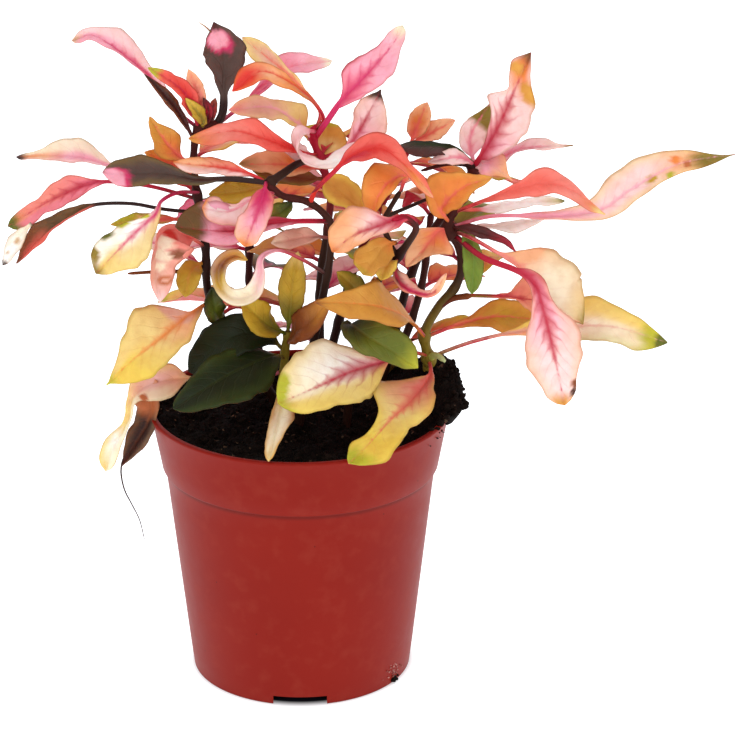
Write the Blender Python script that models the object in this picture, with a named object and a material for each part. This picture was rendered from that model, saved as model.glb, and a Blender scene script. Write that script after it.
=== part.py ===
"""A potted alternanthera: a nursery pot, its soil, and leafy shoots that stand in holes in the soil.

Lengths are in millimetres until a mesh is made. +Z is up, the front is -Y, and the origin is the
centre of the pot's base. Leaf and stem routes are given as seen from the front, looking down a
little: across, up from the aim point, and the depth behind the pot's axis.
"""

import math
import random

import bpy
import numpy as np

MM = 0.001

# The viewpoint of the leaf and stem routes
VIEW_PITCH = math.radians(21.81)
EYE_DISTANCE = 1061.0
AIM_ACROSS = 20.22
AIM_HEIGHT = 95.16
SIN_PITCH = math.sin(VIEW_PITCH)
COS_PITCH = math.cos(VIEW_PITCH)

# Points read from a smooth curve for each point that it is drawn through
CURVE_DETAIL = 12

# Pot
POT_HEIGHT = 83.5
BASE_RADIUS = 32.9
BAND_BOTTOM = 65.2
BODY_TOP_RADIUS = 40.3
BAND_BOTTOM_RADIUS = 41.2
RIM_RADIUS = 45.0
RIM_INNER_RADIUS = 43.2
WALL = 1.1
FOOT_HEIGHT = 3.0
FOOT_WIDTH = 2.4
FLOOR_TOP = 4.4
HUB_RADIUS = 7.0
POT_SIDES = 48
NOTCH_COUNT = 3
NOTCH_WIDTH = 16.0
DRAIN_COUNT = 6
DRAIN_RADIUS = 3.6
DRAIN_CIRCLE = 20.0
DRAIN_SIDES = 14
FOOT_DRAFT = 0.4
BAND_STEP = 0.4
BAND_INSIDE_TOP = BAND_BOTTOM + 0.5
BAND_INSIDE_BOTTOM = BAND_BOTTOM - 1
RIM_ROUND = 0.3
NOTCH_OVERCUT = 3.0
NOTCH_ROOF = FOOT_HEIGHT - 0.05

# Soil
CLEAR = 0.3
SOIL_LEVEL = 78.5
MOUND_HEIGHT = 15.5
MOUND_X = 41.0
MOUND_Y = 11.0
MOUND_SPREAD = 10.5
SOIL_OVERHANG = 4.0
SOIL_EDGE_DROP = 0.6
SOIL_EDGE_ROUND = 0.5
HEAP_START = 1.5
HEAP_FULL = 4.5
BROAD_LUMP = 0.7
FINE_LUMP = 0.45
SOIL_SIDES = 40
SOIL_RINGS = 8
STEM_DEPTH = 20.0
HOLE_CLEAR = 0.8
HOLE_SIDES = 8
STRAIGHT_OVER_SOIL = 1.5

# Leaves and stems
BLADE_THICKNESS = 0.75
STALK_THICKNESS = 1.2
STALK_HALF_WIDTH = 0.6
TIP_HALF_WIDTH = 0.4
FULL_BLADE_HALF_WIDTH = 2.0
TIP_TAPER = 0.75
MIDRIB_DROP = 0.45
HAND_PHASE = 1.3
LEAF_PHASE = 2.4
STATION_STEP = 6.3
LEAST_STATIONS = 6
STEM_SIDES = 6
STEM_STEP = 8.0
BRANCH_STEP = 5.6

# Stations along a stem that its paired leaves are placed by
PAIR_STATIONS = 60

# The side that paired leaves show, as across, up and toward the viewer
UPWARD = (0, 1, 0.4)

# How far back a paired leaf must point, as the sine of its bearing: on a back stem, and on a
# stem whose front leaves are all listed
ALL_BUT_FRONT = -0.35
REAR_ONLY = 0.3

COLOURS = {
    "pot": (0.3, 0.03, 0.015),
    "soil": (0.012, 0.009, 0.008),
    "shoot_left": (0.8, 0.4, 0.3),
    "shoot_middle_left": (0.75, 0.35, 0.25),
    "shoot_middle_top": (0.78, 0.3, 0.22),
    "shoot_middle": (0.8, 0.42, 0.15),
    "shoot_right": (0.82, 0.5, 0.22),
    "shoot_right_top": (0.8, 0.42, 0.42),
    "shoot_low": (0.12, 0.16, 0.03),
    "shoot_back_left": (0.7, 0.4, 0.15),
    "shoot_back_middle": (0.8, 0.36, 0.2),
    "shoot_back_right": (0.6, 0.42, 0.1),
}
PLASTIC_ROUGHNESS = 0.4
SOIL_ROUGHNESS = 0.95
LEAF_ROUGHNESS = 0.55
SHARP_ANGLE = math.radians(35)


# Each shoot: its stem and side stems as (route, root radius, tip radius), then its leaves as
# (route, width, other shape values), from the root in the stem to the tip.
SHOOTS = {
    "shoot_left": {
        "stems": [
            (
                [(-6, -14, 6), (-12, -3, 5), (-20, 8, 4), (-27, 22, 2), (-28, 36, 0)]
                + [(-30, 49, -2), (-31.5, 60, -3), (-30, 71, -3), (-24, 72, -1)],
                1.6,
                0.9,
            ),
            ([(-28, 30, 1), (-35, 28.7, -3), (-43, 28.5, -5), (-51, 28, -7)], 0.7, 0.45),
        ],
        "leaves": [
            # Far upper left, pale pink
            (
                [(-30, 71, -3), (-36, 76, -1), (-46, 88, 3), (-60, 98.5, 8), (-67.5, 97, 10)],
                9,
                {"facing": (0.2, 0.5, 0.8), "petiole": 0.2, "fold": 0.45},
            ),
            # Dark one seen edge on, below it
            ([(-31, 67, -3), (-36, 76, -7), (-40, 81, -10), (-46, 87, -11)], 3.5, {}),
            # Small crimson and salmon ones
            ([(-30, 71, -3), (-33, 80, -9), (-38, 85, -13), (-45, 89, -14)], 6, {}),
            ([(-29, 72, -3), (-30.5, 81, -6), (-33, 88.5, -8)], 5.5, {}),
            ([(-29, 71, -3), (-29, 74, -7), (-34, 80, -10)], 4, {}),
            ([(-28, 71, -2), (-27, 76, -4), (-28.5, 80, -6)], 3, {}),
            ([(-26, 72, -2), (-26, 76, -1), (-25, 80, 1)], 3, {}),
            # Yellow and orange ones on the outer side
            (
                [(-31.5, 60, -3), (-36, 63, -6), (-41, 69, -9), (-44.5, 74.5, -10)],
                8.5,
                {"petiole": 0.2},
            ),
            ([(-31.5, 57, -3), (-37, 60, -6), (-46, 64, -9)], 6, {}),
            # Left, pale pink with a brown tip
            (
                [(-31.5, 60, -3), (-43, 57, 1), (-54, 59.3, 4), (-65, 62.8, 7), (-75, 63.2, 8)]
                + [(-84, 62.5, 9)],
                10.5,
                {"facing": (0, 0.7, 0.7), "petiole": 0.42, "widths": (9, 10.5, 9, 6), "fold": 0.3},
            ),
            # Left, rose
            (
                [(-30, 50, -2), (-45, 54, -3), (-58.5, 55.2, -4), (-67, 53, -6), (-76, 48.7, -8)]
                + [(-86.5, 42, -10)],
                10.5,
                {"facing": (0, 0.35, 0.95), "petiole": 0.44},
            ),
            # Left, dark arching stalk and folded dark red blade, with a dry end piece
            (
                [(-29.5, 46, -2), (-40, 47, -5), (-50, 48.7, -8), (-60, 48.5, -11)]
                + [(-66, 46.5, -13), (-75, 41, -15), (-84, 31, -17)],
                7,
                {"facing": (-0.5, 0.5, 0.75), "petiole": 0.5, "fold": 0.6},
            ),
            (
                [(-68, 45.3, -13.5), (-77, 42.5, -16.5), (-84, 38.5, -18), (-88, 30.5, -18)],
                6,
                {"petiole": 0.05},
            ),
            # Yellow and pink, spoon-shaped
            (
                [(-30, 52, -3), (-36, 52, -11), (-41, 49.5, -16), (-43, 45.5, -19)]
                + [(-50, 39, -22), (-60.5, 28, -25)],
                14,
                {"facing": (0.1, 0.15, 1), "petiole": 0.32, "widest": 0.6},
            ),
            ([(-29, 44, -1), (-42, 44, -6), (-56, 42.5, -10)], 5, {"petiole": 0.3}),
            # Curled over and hanging, pink
            (
                [(-28.3, 36, 0), (-32, 38.5, -7), (-37, 41, -11), (-41, 40, -14)]
                + [(-42.5, 32, -16), (-41.5, 19.5, -16)],
                7,
                {"facing": (-0.6, 0.3, 0.7), "petiole": 0.2, "fold": 0.6, "widest": 0.6},
            ),
            # Ochre and green, inside
            ([(-28, 32, 1), (-31, 30, -5), (-33, 22, -8)], 9, {"fold": 0.2}),
            ([(-21, 11, 4), (-25, 17, -2), (-26, 24, -4)], 7, {}),
            # Big yellow, lower left
            (
                [(-26, 20, 2), (-29.5, 18, -5), (-34, 15, -10), (-41, 9.3, -16)]
                + [(-49, 3, -20), (-57.3, -5, -23)],
                18,
                {
                    "facing": (-0.1, 0.25, 1),
                    "petiole": 0.12,
                    "widths": (11, 17, 18, 15, 9),
                    "fold": 0.15,
                },
            ),
            # Top, dark spoon with a pink heart
            (
                [(-25, 71.5, -1), (-22.8, 76, 0), (-22.5, 84, 1), (-22.5, 93, 1)]
                + [(-25.5, 102.5, -2)],
                13,
                {"facing": (0, 0, 1), "petiole": 0.22, "widest": 0.6, "fold": 0.35},
            ),
            # Behind the top, pale pink with a red stalk
            (
                [(-24.5, 72, -1), (-17, 78, 6), (-10, 84, 12), (-3, 89.5, 16), (9.5, 91, 19)],
                8,
                {"facing": (0, 0.6, 0.75), "petiole": 0.25},
            ),
        ],
        "pairs": {
            "shares": (0.36, 0.5, 0.62, 0.74, 0.84),
            "length": 36,
            "width": 12,
            "seed": 14,
            "turn": 0.9,
            "backward": REAR_ONLY,
        },
    },
    "shoot_middle_left": {
        "stems": [
            (
                [(0, -14, -4), (3, 2, -5), (7, 22, -6), (9, 34, -8), (9, 43, -10)]
                + [(3, 49, -12), (-5, 51, -14), (-10, 55, -16)],
                1.6,
                0.9,
            ),
        ],
        "leaves": [
            # Long and dark, out to the left
            (
                [(-10, 55, -16), (-20, 56, -17), (-30, 56, -17), (-40, 58, -18)]
                + [(-50, 58, -19), (-58.5, 58, -21)],
                10,
                {"facing": (0, 0.3, 0.95), "petiole": 0.25, "widest": 0.6, "wave": 0.5},
            ),
            # Long and level, pink and olive
            (
                [(9, 43.5, -10), (0, 43.5, -16), (-8, 43, -21), (-20, 41, -25), (-37, 42, -27)],
                10.5,
                {"facing": (0, 0.5, 0.85), "petiole": 0.2, "widest": 0.6},
            ),
            # Pale pink spoon with an orange rim
            (
                [(-7, 52.5, -15), (-14, 50, -19), (-21, 46.5, -22), (-29, 47.5, -23)],
                11,
                {"facing": (0, 0.6, 0.8), "widest": 0.6},
            ),
            # Front, hanging, pink and orange
            (
                [(-10, 55, -16), (-11, 50.5, -24), (-13, 45, -29), (-16.5, 36, -32)],
                10,
                {"facing": (0, 0.2, 1)},
            ),
            # Ochre and peach, to the left
            ([(-9, 54, -16), (-14, 53, -14), (-20, 52, -14), (-27, 51.5, -13)], 8, {}),
            (
                [(-10, 55, -16), (-15, 57.5, -15), (-23, 59.5, -15), (-37.5, 61, -15)],
                7.5,
                {"facing": (0, 0.5, 0.85)},
            ),
            # Coral arch to the right
            (
                [(3, 49, -12), (5, 53, -16), (10, 58, -19), (16, 63.5, -21), (24, 65.5, -23)]
                + [(32, 59.5, -25), (39.5, 50.5, -26)],
                8.5,
                {"facing": (0.3, 0.6, 0.75), "petiole": 0.32, "widest": 0.5},
            ),
            # Curled into a ring
            (
                [(7.5, 28, -7), (1, 32, -14), (-5.5, 34.5, -18), (-6.5, 27, -21)]
                + [(-10, 21, -23), (-16, 18.5, -24), (-22, 21.5, -24), (-24, 28, -23)]
                + [(-20, 33.5, -22), (-14, 31.5, -21), (-13.5, 27, -20)],
                7,
                {"edge": (0, -0.55, 0.85), "petiole": 0.14, "fold": 0.1, "wave": 0.4},
            ),
        ],
    },
    "shoot_middle_top": {
        "stems": [
            (
                [(6, -14, 8), (6, 5, 8), (6, 25, 7), (8, 40, 6), (9, 52, 5), (6, 62, 4)]
                + [(4, 68, 3), (5, 72, 3)],
                1.6,
                0.9,
            ),
        ],
        "leaves": [
            # Big coral, to the left
            (
                [(5.5, 63, 4), (0, 64, -4), (-10, 68, -10), (-20, 70.5, -13), (-33, 68, -14)],
                10.5,
                {"facing": (0, 0.5, 0.85), "petiole": 0.15},
            ),
            # Dusty pink
            (
                [(4, 68, 3), (-1, 73, 2), (-9, 77.5, 1), (-21, 76.5, -1)],
                9,
                {"facing": (0, 0.4, 0.9)},
            ),
            # Red and orange, arching left
            (
                [(4.5, 70, 3), (7, 74, 0), (3, 80, -3), (-4, 85.5, -5), (-12, 88, -7)]
                + [(-20, 82, -9)],
                7.5,
                {"facing": (0.2, 0.6, 0.75), "petiole": 0.22, "widest": 0.6},
            ),
            # Peach and yellow, upward left
            (
                [(4.5, 70, 3), (6, 76, 5), (1, 82, 6), (-5, 88.5, 5), (-17, 98, 2)],
                9,
                {"facing": (0.2, 0.4, 0.9), "petiole": 0.2},
            ),
            # Tall pink
            (
                [(4.5, 68, 3), (8, 73, -2), (13, 80, -5), (20, 87.5, -7), (27, 95.5, -7)]
                + [(30.5, 101.5, -4)],
                11,
                {"facing": (-0.2, 0.2, 1), "petiole": 0.3, "widest": 0.6},
            ),
            # Pink with a dark olive tip
            (
                [(6, 62, 4), (11, 64, 2), (15, 66.5, 1), (19, 72.5, 0), (24, 82.5, 0)],
                10.5,
                {"facing": (0.2, 0, 1), "petiole": 0.22},
            ),
            # Pale pink, curled like a C
            (
                [(5, 70, 3), (1, 70, -5), (-0.5, 65, -10), (2.5, 60.8, -13), (7.5, 60.2, -14)]
                + [(12.5, 62, -13), (17.5, 67, -11)],
                5,
                {"edge": (0, -0.6, 0.8), "petiole": 0.1, "fold": 0.1, "wave": 0.3},
            ),
            # Yellow, behind
            ([(6, 62, 4), (8, 66, 9), (8, 74.5, 12)], 12, {"fold": 0.2}),
            # Ochre, green and pink small ones
            ([(7, 59, 4), (-3, 60, -2), (-14, 62, -6)], 8, {}),
            ([(8, 56, 5), (-1, 57, 2), (-10, 58.5, 0)], 7, {}),
            ([(7, 60, 4), (1, 63, -1), (-6, 65.5, -4)], 6, {}),
        ],
        "pairs": {
            "shares": (0.4, 0.52, 0.64, 0.76, 0.88),
            "length": 36,
            "width": 12,
            "seed": 11,
            "turn": 0.9,
            "backward": REAR_ONLY,
        },
    },
    "shoot_middle": {
        "stems": [
            (
                [(14, -14, -6), (16, 2, -9), (19, 16, -12), (24, 27, -14), (29, 35, -15)]
                + [(29.5, 44, -14), (30, 53, -12)],
                1.5,
                0.9,
            ),
        ],
        "leaves": [
            # Orange, folded down from the top
            (
                [(30, 52.5, -12), (31, 57, -16), (27.5, 56, -20), (24, 52.5, -22)]
                + [(21, 45, -22)],
                12,
                {"facing": (-0.1, 0.3, 1), "petiole": 0.15},
            ),
            # Golden, to the left
            (
                [(29.5, 43, -14), (22, 45, -9), (15, 50, -5), (7.5, 56, -3)],
                12,
                {"facing": (0, 0.3, 1), "petiole": 0.2},
            ),
            # Peach and pink, in front
            (
                [(29, 34, -15), (32, 37, -18), (34.5, 41.5, -21), (31.5, 44.7, -24)]
                + [(24, 42.5, -28), (16, 39.5, -31), (9.5, 34.5, -33)],
                12.5,
                {"facing": (0, 0.3, 1), "petiole": 0.34, "widest": 0.55},
            ),
            # Curled like an S, magenta underneath
            (
                [(29, 33.5, -15), (28.5, 28, -20), (32, 23.5, -24), (39, 22, -27)]
                + [(43.5, 28, -28)],
                8,
                {"facing": (0.3, 0.7, 0.6), "widest": 0.5},
            ),
            # Golden lobes below
            (
                [(28.5, 37, -15), (25, 36, -18), (19, 29, -21)],
                10,
                {"facing": (0, 0.3, 1), "fold": 0.15},
            ),
            ([(27, 31.5, -14.5), (26, 32, -18), (24, 26, -20)], 7, {}),
            # Small olive
            ([(20, 19, -12), (17, 23, -14), (11, 28.5, -15)], 7, {}),
            # Green, below
            (
                [(17.2, 9, -10.5), (15, 13, -18), (20, 9.5, -25), (27, 5.5, -28), (35, 0, -29)],
                12,
                {"facing": (0, 0.4, 0.95), "petiole": 0.15, "fold": 0.2},
            ),
        ],
        "pairs": {
            "shares": (0.5, 0.68, 0.86),
            "length": 30,
            "width": 11,
            "seed": 19,
            "turn": 0.9,
            "backward": REAR_ONLY,
        },
    },
    "shoot_right": {
        "stems": [
            (
                [(38, -3, 7), (38.5, 2, 5), (37, 10, 3), (41, 18, 1), (46, 24, 0)]
                + [(48, 30, -1), (47, 36, -2), (44, 42, -3), (46, 47, -3), (50, 51, -3)],
                1.7,
                1.0,
            ),
            ([(41, 18, 1), (45, 20.5, 0), (51, 21.5, -2)], 1.1, 0.8),
            ([(38.2, 3, 4.5), (40.5, 3.8, 1), (43, 2, -2)], 1.1, 0.8),
        ],
        "leaves": [
            # Golden orange, level, to the left
            (
                [(37.3, 9, 3), (32, 15, -11), (26, 18, -20.5), (20, 19, -25), (12, 19.5, -28)]
                + [(4.5, 19.5, -30)],
                13,
                {"facing": (0, 0.5, 0.87), "petiole": 0.14, "fold": 0.2},
            ),
            # Front, yellow and pink, the largest
            (
                [(38.2, 3.5, 4.5), (33, 4.5, -4), (26, 2.2, -13), (15, -1, -22)]
                + [(5, -5.5, -30), (-6.5, -10.5, -37)],
                20,
                {"facing": (0, 0.2, 1), "petiole": 0.27, "widths": (10, 17, 20, 18), "fold": 0.18},
            ),
            # Yellow, over the front rim
            (
                [(38.3, 2.5, 5), (38.6, -2, -6), (34, -8, -18), (27.5, -14.3, -29)]
                + [(22, -20.5, -38), (14.5, -28.3, -47)],
                20,
                {
                    "facing": (-0.1, 0.4, 0.9),
                    "petiole": 0.12,
                    "widths": (10, 19, 18, 12, 12),
                    "wave": 1.6,
                    "waves": 1.9,
                },
            ),
            # Small green one, hanging
            ([(45, 40.5, -3), (49, 40, -6), (51.5, 32, -8), (51, 22, -9)], 6, {}),
            # Orange, toward the middle
            (
                [(44.5, 41, -3), (41, 40.5, -6), (36.5, 35, -8), (31.5, 30, -9)],
                11,
                {"facing": (0.1, 0.3, 1)},
            ),
            # Longest, far right
            (
                [(44.2, 41.5, -3), (57, 45, -4), (75, 45, -5), (89, 47, -6), (98, 53, -7)]
                + [(112, 60.5, -8), (129, 63.3, -9)],
                11.5,
                {
                    "facing": (-0.1, 0.35, 0.95),
                    "petiole": 0.44,
                    "widths": (7, 11.5, 10, 9, 5),
                    "lean": 0.1,
                    "fold": 0.2,
                },
            ),
            # Peach with a red stalk, lower right
            (
                [(50, 21.5, -1.5), (57, 21.3, -4), (64, 21, -6), (73, 20, -7)],
                9.5,
                {"facing": (0, 0.5, 0.87), "petiole": 0.3},
            ),
            # Coral arch
            (
                [(45.5, 46, -3), (53, 49, -7), (62, 52.5, -10), (73, 55, -12)]
                + [(82, 52, -14), (90.5, 45.5, -15)],
                8,
                {"facing": (0.2, 0.45, 0.88), "petiole": 0.18, "widest": 0.6, "fold": 0.2},
            ),
            # Cream with a lime tip
            (
                [(46, 47, -3), (53, 47, 0), (65, 49, 3), (78.5, 49.5, 5)],
                5,
                {"facing": (0, 0.6, 0.8), "petiole": 0.2},
            ),
            # Pale cream
            (
                [(45, 40.5, -3), (53, 42, 1), (62, 42.5, 4), (73, 44.5, 6)],
                9,
                {"facing": (0, 0.5, 0.85), "petiole": 0.2},
            ),
            # Dark red, seen edge on
            ([(45, 41, -3), (49, 41.5, -9), (60, 38, -13), (64, 34.5, -14)], 3.5, {}),
            # Peach, down to the right
            (
                [(45, 40.8, -3), (51, 38.5, -10), (58, 34.5, -14), (64.5, 31, -16)]
                + [(71, 25.5, -18), (76, 18.5, -19), (84, 13, -20)],
                13,
                {"facing": (0.2, 0.35, 0.9), "petiole": 0.3, "fold": 0.2, "lean": 0.5},
            ),
            # Pink, hanging at the right
            (
                [(45, 40, -3), (54, 33, -13), (64, 29, -21), (69.5, 25, -25)]
                + [(72, 18, -27), (75, 6, -28), (78.5, -11, -28)],
                17,
                {"facing": (0, 0.1, 1), "petiole": 0.34, "widest": 0.52, "fold": 0.2},
            ),
            # Yellow and green, low at the right
            (
                [(38.6, 3, 4.5), (44, 5.3, 2), (52, 8, 0), (63, 10.5, -2), (78, 12.3, -4)]
                + [(93, 12.3, -6), (109, 7.5, -8)],
                15.5,
                {"facing": (0, 0.35, 0.95), "petiole": 0.26, "fold": 0.15, "wave": 1.2},
            ),
            # Golden, low
            (
                [(37.1, 9, 3), (46, 12.5, 5), (58, 15.5, 7), (71, 14.5, 9)],
                10.5,
                {"facing": (0, 0.45, 0.9), "petiole": 0.18},
            ),
            # Orange, upward
            (
                [(44.3, 43, -3), (42, 47.5, -9), (48, 53.5, -13), (57, 56.5, -14)],
                9.5,
                {"facing": (-0.1, 0.3, 1)},
            ),
        ],
        "pairs": {
            "shares": (0.5, 0.65, 0.8),
            "length": 32,
            "width": 12,
            "seed": 33,
            "turn": 0.9,
            "backward": REAR_ONLY,
        },
    },
    "shoot_right_top": {
        "stems": [
            (
                [(24, -14, 16), (27, 5, 17), (32, 25, 16), (39, 40, 14), (47, 51, 11)]
                + [(52, 60, 8)],
                1.6,
                1.0,
            ),
            ([(52, 60, 8), (44, 60.5, 4), (36, 58.5, 1)], 0.7, 0.5),
        ],
        "leaves": [
            # Big pink, upward, with waved edges
            (
                [(51.5, 59.5, 8), (54.5, 64, 4), (58.5, 71, 1), (63, 81, -2), (68.5, 93.5, -4)],
                15,
                {
                    "facing": (-0.1, 0.05, 1),
                    "petiole": 0.08,
                    "widths": (8, 14, 15, 10, 7),
                    "lean": -0.3,
                    "wave": 1.4,
                    "waves": 2.2,
                },
            ),
            # Its companion behind
            (
                [(52, 60, 8), (50.5, 65, 9), (51, 70, 10), (56.5, 78.5, 11)],
                10,
                {"facing": (-0.2, 0, 1)},
            ),
            # Thin, to the right
            (
                [(52, 59.5, 8), (57, 60.5, 8), (66, 65, 8), (81, 66, 8)],
                5,
                {"facing": (0, 0.6, 0.8)},
            ),
            # Pale flap
            ([(51.5, 59, 8), (56.5, 60.5, 4), (63, 55.5, 2)], 7, {}),
            # Pale pink, to the left
            ([(52, 60, 8), (47, 62.5, 3), (38, 61, 0)], 5, {}),
            # Dark green, to the left
            (
                [(52, 60, 8), (46.5, 64.5, 6), (38, 66.5, 4), (29.5, 66, 2)],
                7,
                {"facing": (0, 0.5, 0.85)},
            ),
        ],
        "pairs": {
            "shares": (0.38, 0.52, 0.66, 0.8, 0.93),
            "length": 34,
            "width": 12,
            "seed": 18,
            "turn": 0.5,
            "backward": REAR_ONLY,
        },
    },
    "shoot_low": {
        "stems": [
            ([(-5, -13, 0), (-5, -4, -2), (-4.5, 4, -4), (-3.5, 11, -7)], 1.4, 1.0),
        ],
        "leaves": [
            # Dark green, broad, low over the soil
            (
                [(-4.5, 3, -4), (-9, 3.5, -12), (-20, -1, -21), (-30, -7, -27), (-37.5, -12, -30)],
                21,
                {"facing": (-0.1, 0.6, 0.8), "petiole": 0.1, "widest": 0.48, "fold": 0.15},
            ),
            (
                [(-4.5, 5, -4), (-10, 10, -8), (-20, 11, -10), (-30.5, 1, -9)],
                14,
                {"facing": (0, 0.45, 0.9), "petiole": 0.08, "fold": 0.15},
            ),
            # Ochre olive, and the upright one beside it
            ([(-3.6, 10, -6.5), (-7, 15.5, -11), (-12, 16, -14), (-19, 14.5, -15)], 9, {}),
            ([(-3.6, 10.5, -7), (-2.8, 17, -9), (-2, 26, -9), (-0.5, 34.5, -9)], 8.5, {}),
            # Brown orange, in the middle
            ([(-4, 7, -5), (-1, 11, -12), (3, 14, -15), (9, 20.5, -16)], 10, {}),
            # Cream, folded, over the front rim
            (
                [(-5, -3, -2), (-4, -5, -14), (-5, -9, -24), (-6.5, -16, -32), (-9.5, -29, -46)],
                7,
                {"facing": (-0.3, 0.5, 0.85), "fold": 0.5, "petiole": 0.3},
            ),
            # Withered, over the left rim
            (
                [(-5, -1, -2), (-16, -4, -8), (-30, -3, -10), (-40, -3, -11)]
                + [(-48, -7, -12), (-52, -14, -12), (-55, -22, -12), (-56, -31, -12)],
                13,
                {
                    "facing": (-0.5, 0.5, 0.7),
                    "petiole": 0.4,
                    "widths": (7, 12, 13, 9, 10, 8),
                    "fold": 0.3,
                    "wave": 1.4,
                },
            ),
        ],
    },
    "shoot_back_left": {
        "stems": [([(-9, -14, 20), (-12, 4, 25), (-15, 26, 30), (-14, 50, 32)], 1.6, 0.9)],
        "leaves": [],
        "pairs": {
            "shares": (0.34, 0.48, 0.62, 0.76, 0.88, 0.99),
            "length": 38,
            "width": 13,
            "seed": 8,
            "turn": 1.3,
        },
    },
    "shoot_back_middle": {
        "stems": [
            ([(7, -14, 26), (10, 8, 31), (17, 32, 32), (27, 54, 27), (33, 66.5, 19)], 1.6, 0.9),
        ],
        "leaves": [
            # Orange peach, with a side lobe, over the top
            ([(33, 66.5, 19), (34.5, 71, 17), (37.8, 78.7, 15)], 7, {"facing": (0, 0.2, 1)}),
            ([(33, 66.5, 19), (39.5, 70, 17), (46, 73.5, 16)], 6, {"facing": (0, 0.3, 1)}),
        ],
        "pairs": {
            "shares": (0.3, 0.42, 0.54, 0.66, 0.78, 0.89),
            "length": 38,
            "width": 13,
            "seed": 7,
            "turn": 0.9,
        },
    },
    "shoot_back_right": {
        "stems": [([(23, -14, 22), (29, 4, 28), (36, 24, 32), (39, 46, 33)], 1.6, 0.9)],
        "leaves": [],
        "pairs": {
            "shares": (0.34, 0.48, 0.62, 0.76, 0.88, 0.99),
            "length": 38,
            "width": 13,
            "seed": 7,
            "turn": 0.5,
        },
    },
}


def place(across, up, depth):
    """The point seen at (across, up) from the front, at the given depth behind the pot's axis."""
    near = (up * SIN_PITCH - depth) / (COS_PITCH + up * SIN_PITCH / EYE_DISTANCE)
    shrink = 1 - near / EYE_DISTANCE
    x = AIM_ACROSS + (across - AIM_ACROSS) * shrink
    z = AIM_HEIGHT + up * shrink * COS_PITCH + near * SIN_PITCH
    return np.array([x, depth, z])


def toward(across, up, near):
    """The unit direction that points across, up and toward the viewer by these amounts."""
    direction = np.array(
        [across, up * SIN_PITCH - near * COS_PITCH, up * COS_PITCH + near * SIN_PITCH]
    )
    return direction / np.linalg.norm(direction)


def blend(values, share):
    """The value at a share of the way along a smooth curve through evenly spaced values."""
    position = share * (len(values) - 1)
    index = min(int(position), len(values) - 2)
    t = position - index
    b = values[index]
    c = values[index + 1]
    a = values[index - 1] if index > 0 else 2 * b - c
    d = values[index + 2] if index + 2 < len(values) else 2 * c - b
    bend = (a - 2.5 * b + 2 * c - d / 2) * t**2 + (1.5 * (b - c) + (d - a) / 2) * t**3
    return b + (c - a) * t / 2 + bend


def smooth(points, count):
    """Evenly spaced points along a smooth curve through the given ones."""
    points = np.array(points, float)
    shares = np.linspace(0, 1, CURVE_DETAIL * len(points))
    dense = np.array([blend(points, share) for share in shares])
    run = np.append(0, np.cumsum(np.linalg.norm(np.diff(dense, axis=0), axis=1)))
    wanted = np.linspace(0, run[-1], count)
    return np.column_stack([np.interp(wanted, run, dense[:, axis]) for axis in range(3)])


def length_of(points):
    return np.linalg.norm(np.diff(np.array(points, float), axis=0), axis=1).sum()


def unit(vector):
    return vector / np.linalg.norm(vector)


def mesh_object(name, points, faces, material):
    """A linked object from points in millimetres and faces, with one material."""
    mesh = bpy.data.meshes.new(name)
    mesh.from_pydata([tuple(point * MM) for point in points], [], faces)
    mesh.materials.append(material)
    part = bpy.data.objects.new(name, mesh)
    bpy.context.scene.collection.objects.link(part)
    return part


def plain_material(name, roughness):
    """The node's own material, in its colour and with its roughness."""
    material = bpy.data.materials.new(name)
    material.use_nodes = True
    shader = material.node_tree.nodes["Principled BSDF"]
    shader.inputs["Base Color"].default_value = (*COLOURS[name], 1)
    shader.inputs["Roughness"].default_value = roughness
    return material


def lofted(rings):
    """Faces of a closed solid through rings of equal size, each listed top row, then bottom row."""
    rows = len(rings[0]) // 2
    size = 2 * rows
    faces = []
    for ring in range(len(rings) - 1):
        here = ring * size
        there = here + size
        for side in range(rows - 1):
            top = here + side
            over = there + side
            faces += [(top, over + 1, over), (top, top + 1, over + 1)]
            low = top + rows
            under = over + rows
            faces += [(low, under, under + 1), (low, under + 1, low + 1)]
        last = rows - 1
        for edge, turned_round in ((0, True), (last, False)):
            quad = [here + edge, here + rows + edge, there + rows + edge, there + edge]
            if turned_round:
                quad.reverse()
            faces += [(quad[0], quad[1], quad[2]), (quad[0], quad[2], quad[3])]
    end = (len(rings) - 1) * size
    for side in range(rows - 1):
        faces += [(side, side + rows + 1, side + 1), (side, side + rows, side + rows + 1)]
        tip = end + side
        faces += [(tip, tip + 1, tip + rows + 1), (tip, tip + rows + 1, tip + rows)]
    return faces


def blade_shape(blade, widest, widths):
    """The blade's width at a share of its length, as a share of its widest width."""
    if widths:
        return blend((0, *widths, 0), blade) / max(widths)
    taper = TIP_TAPER * widest / (1 - widest)
    fullest = widest**taper * (1 - widest) ** TIP_TAPER
    return blade**taper * (1 - blade) ** TIP_TAPER / fullest


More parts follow.
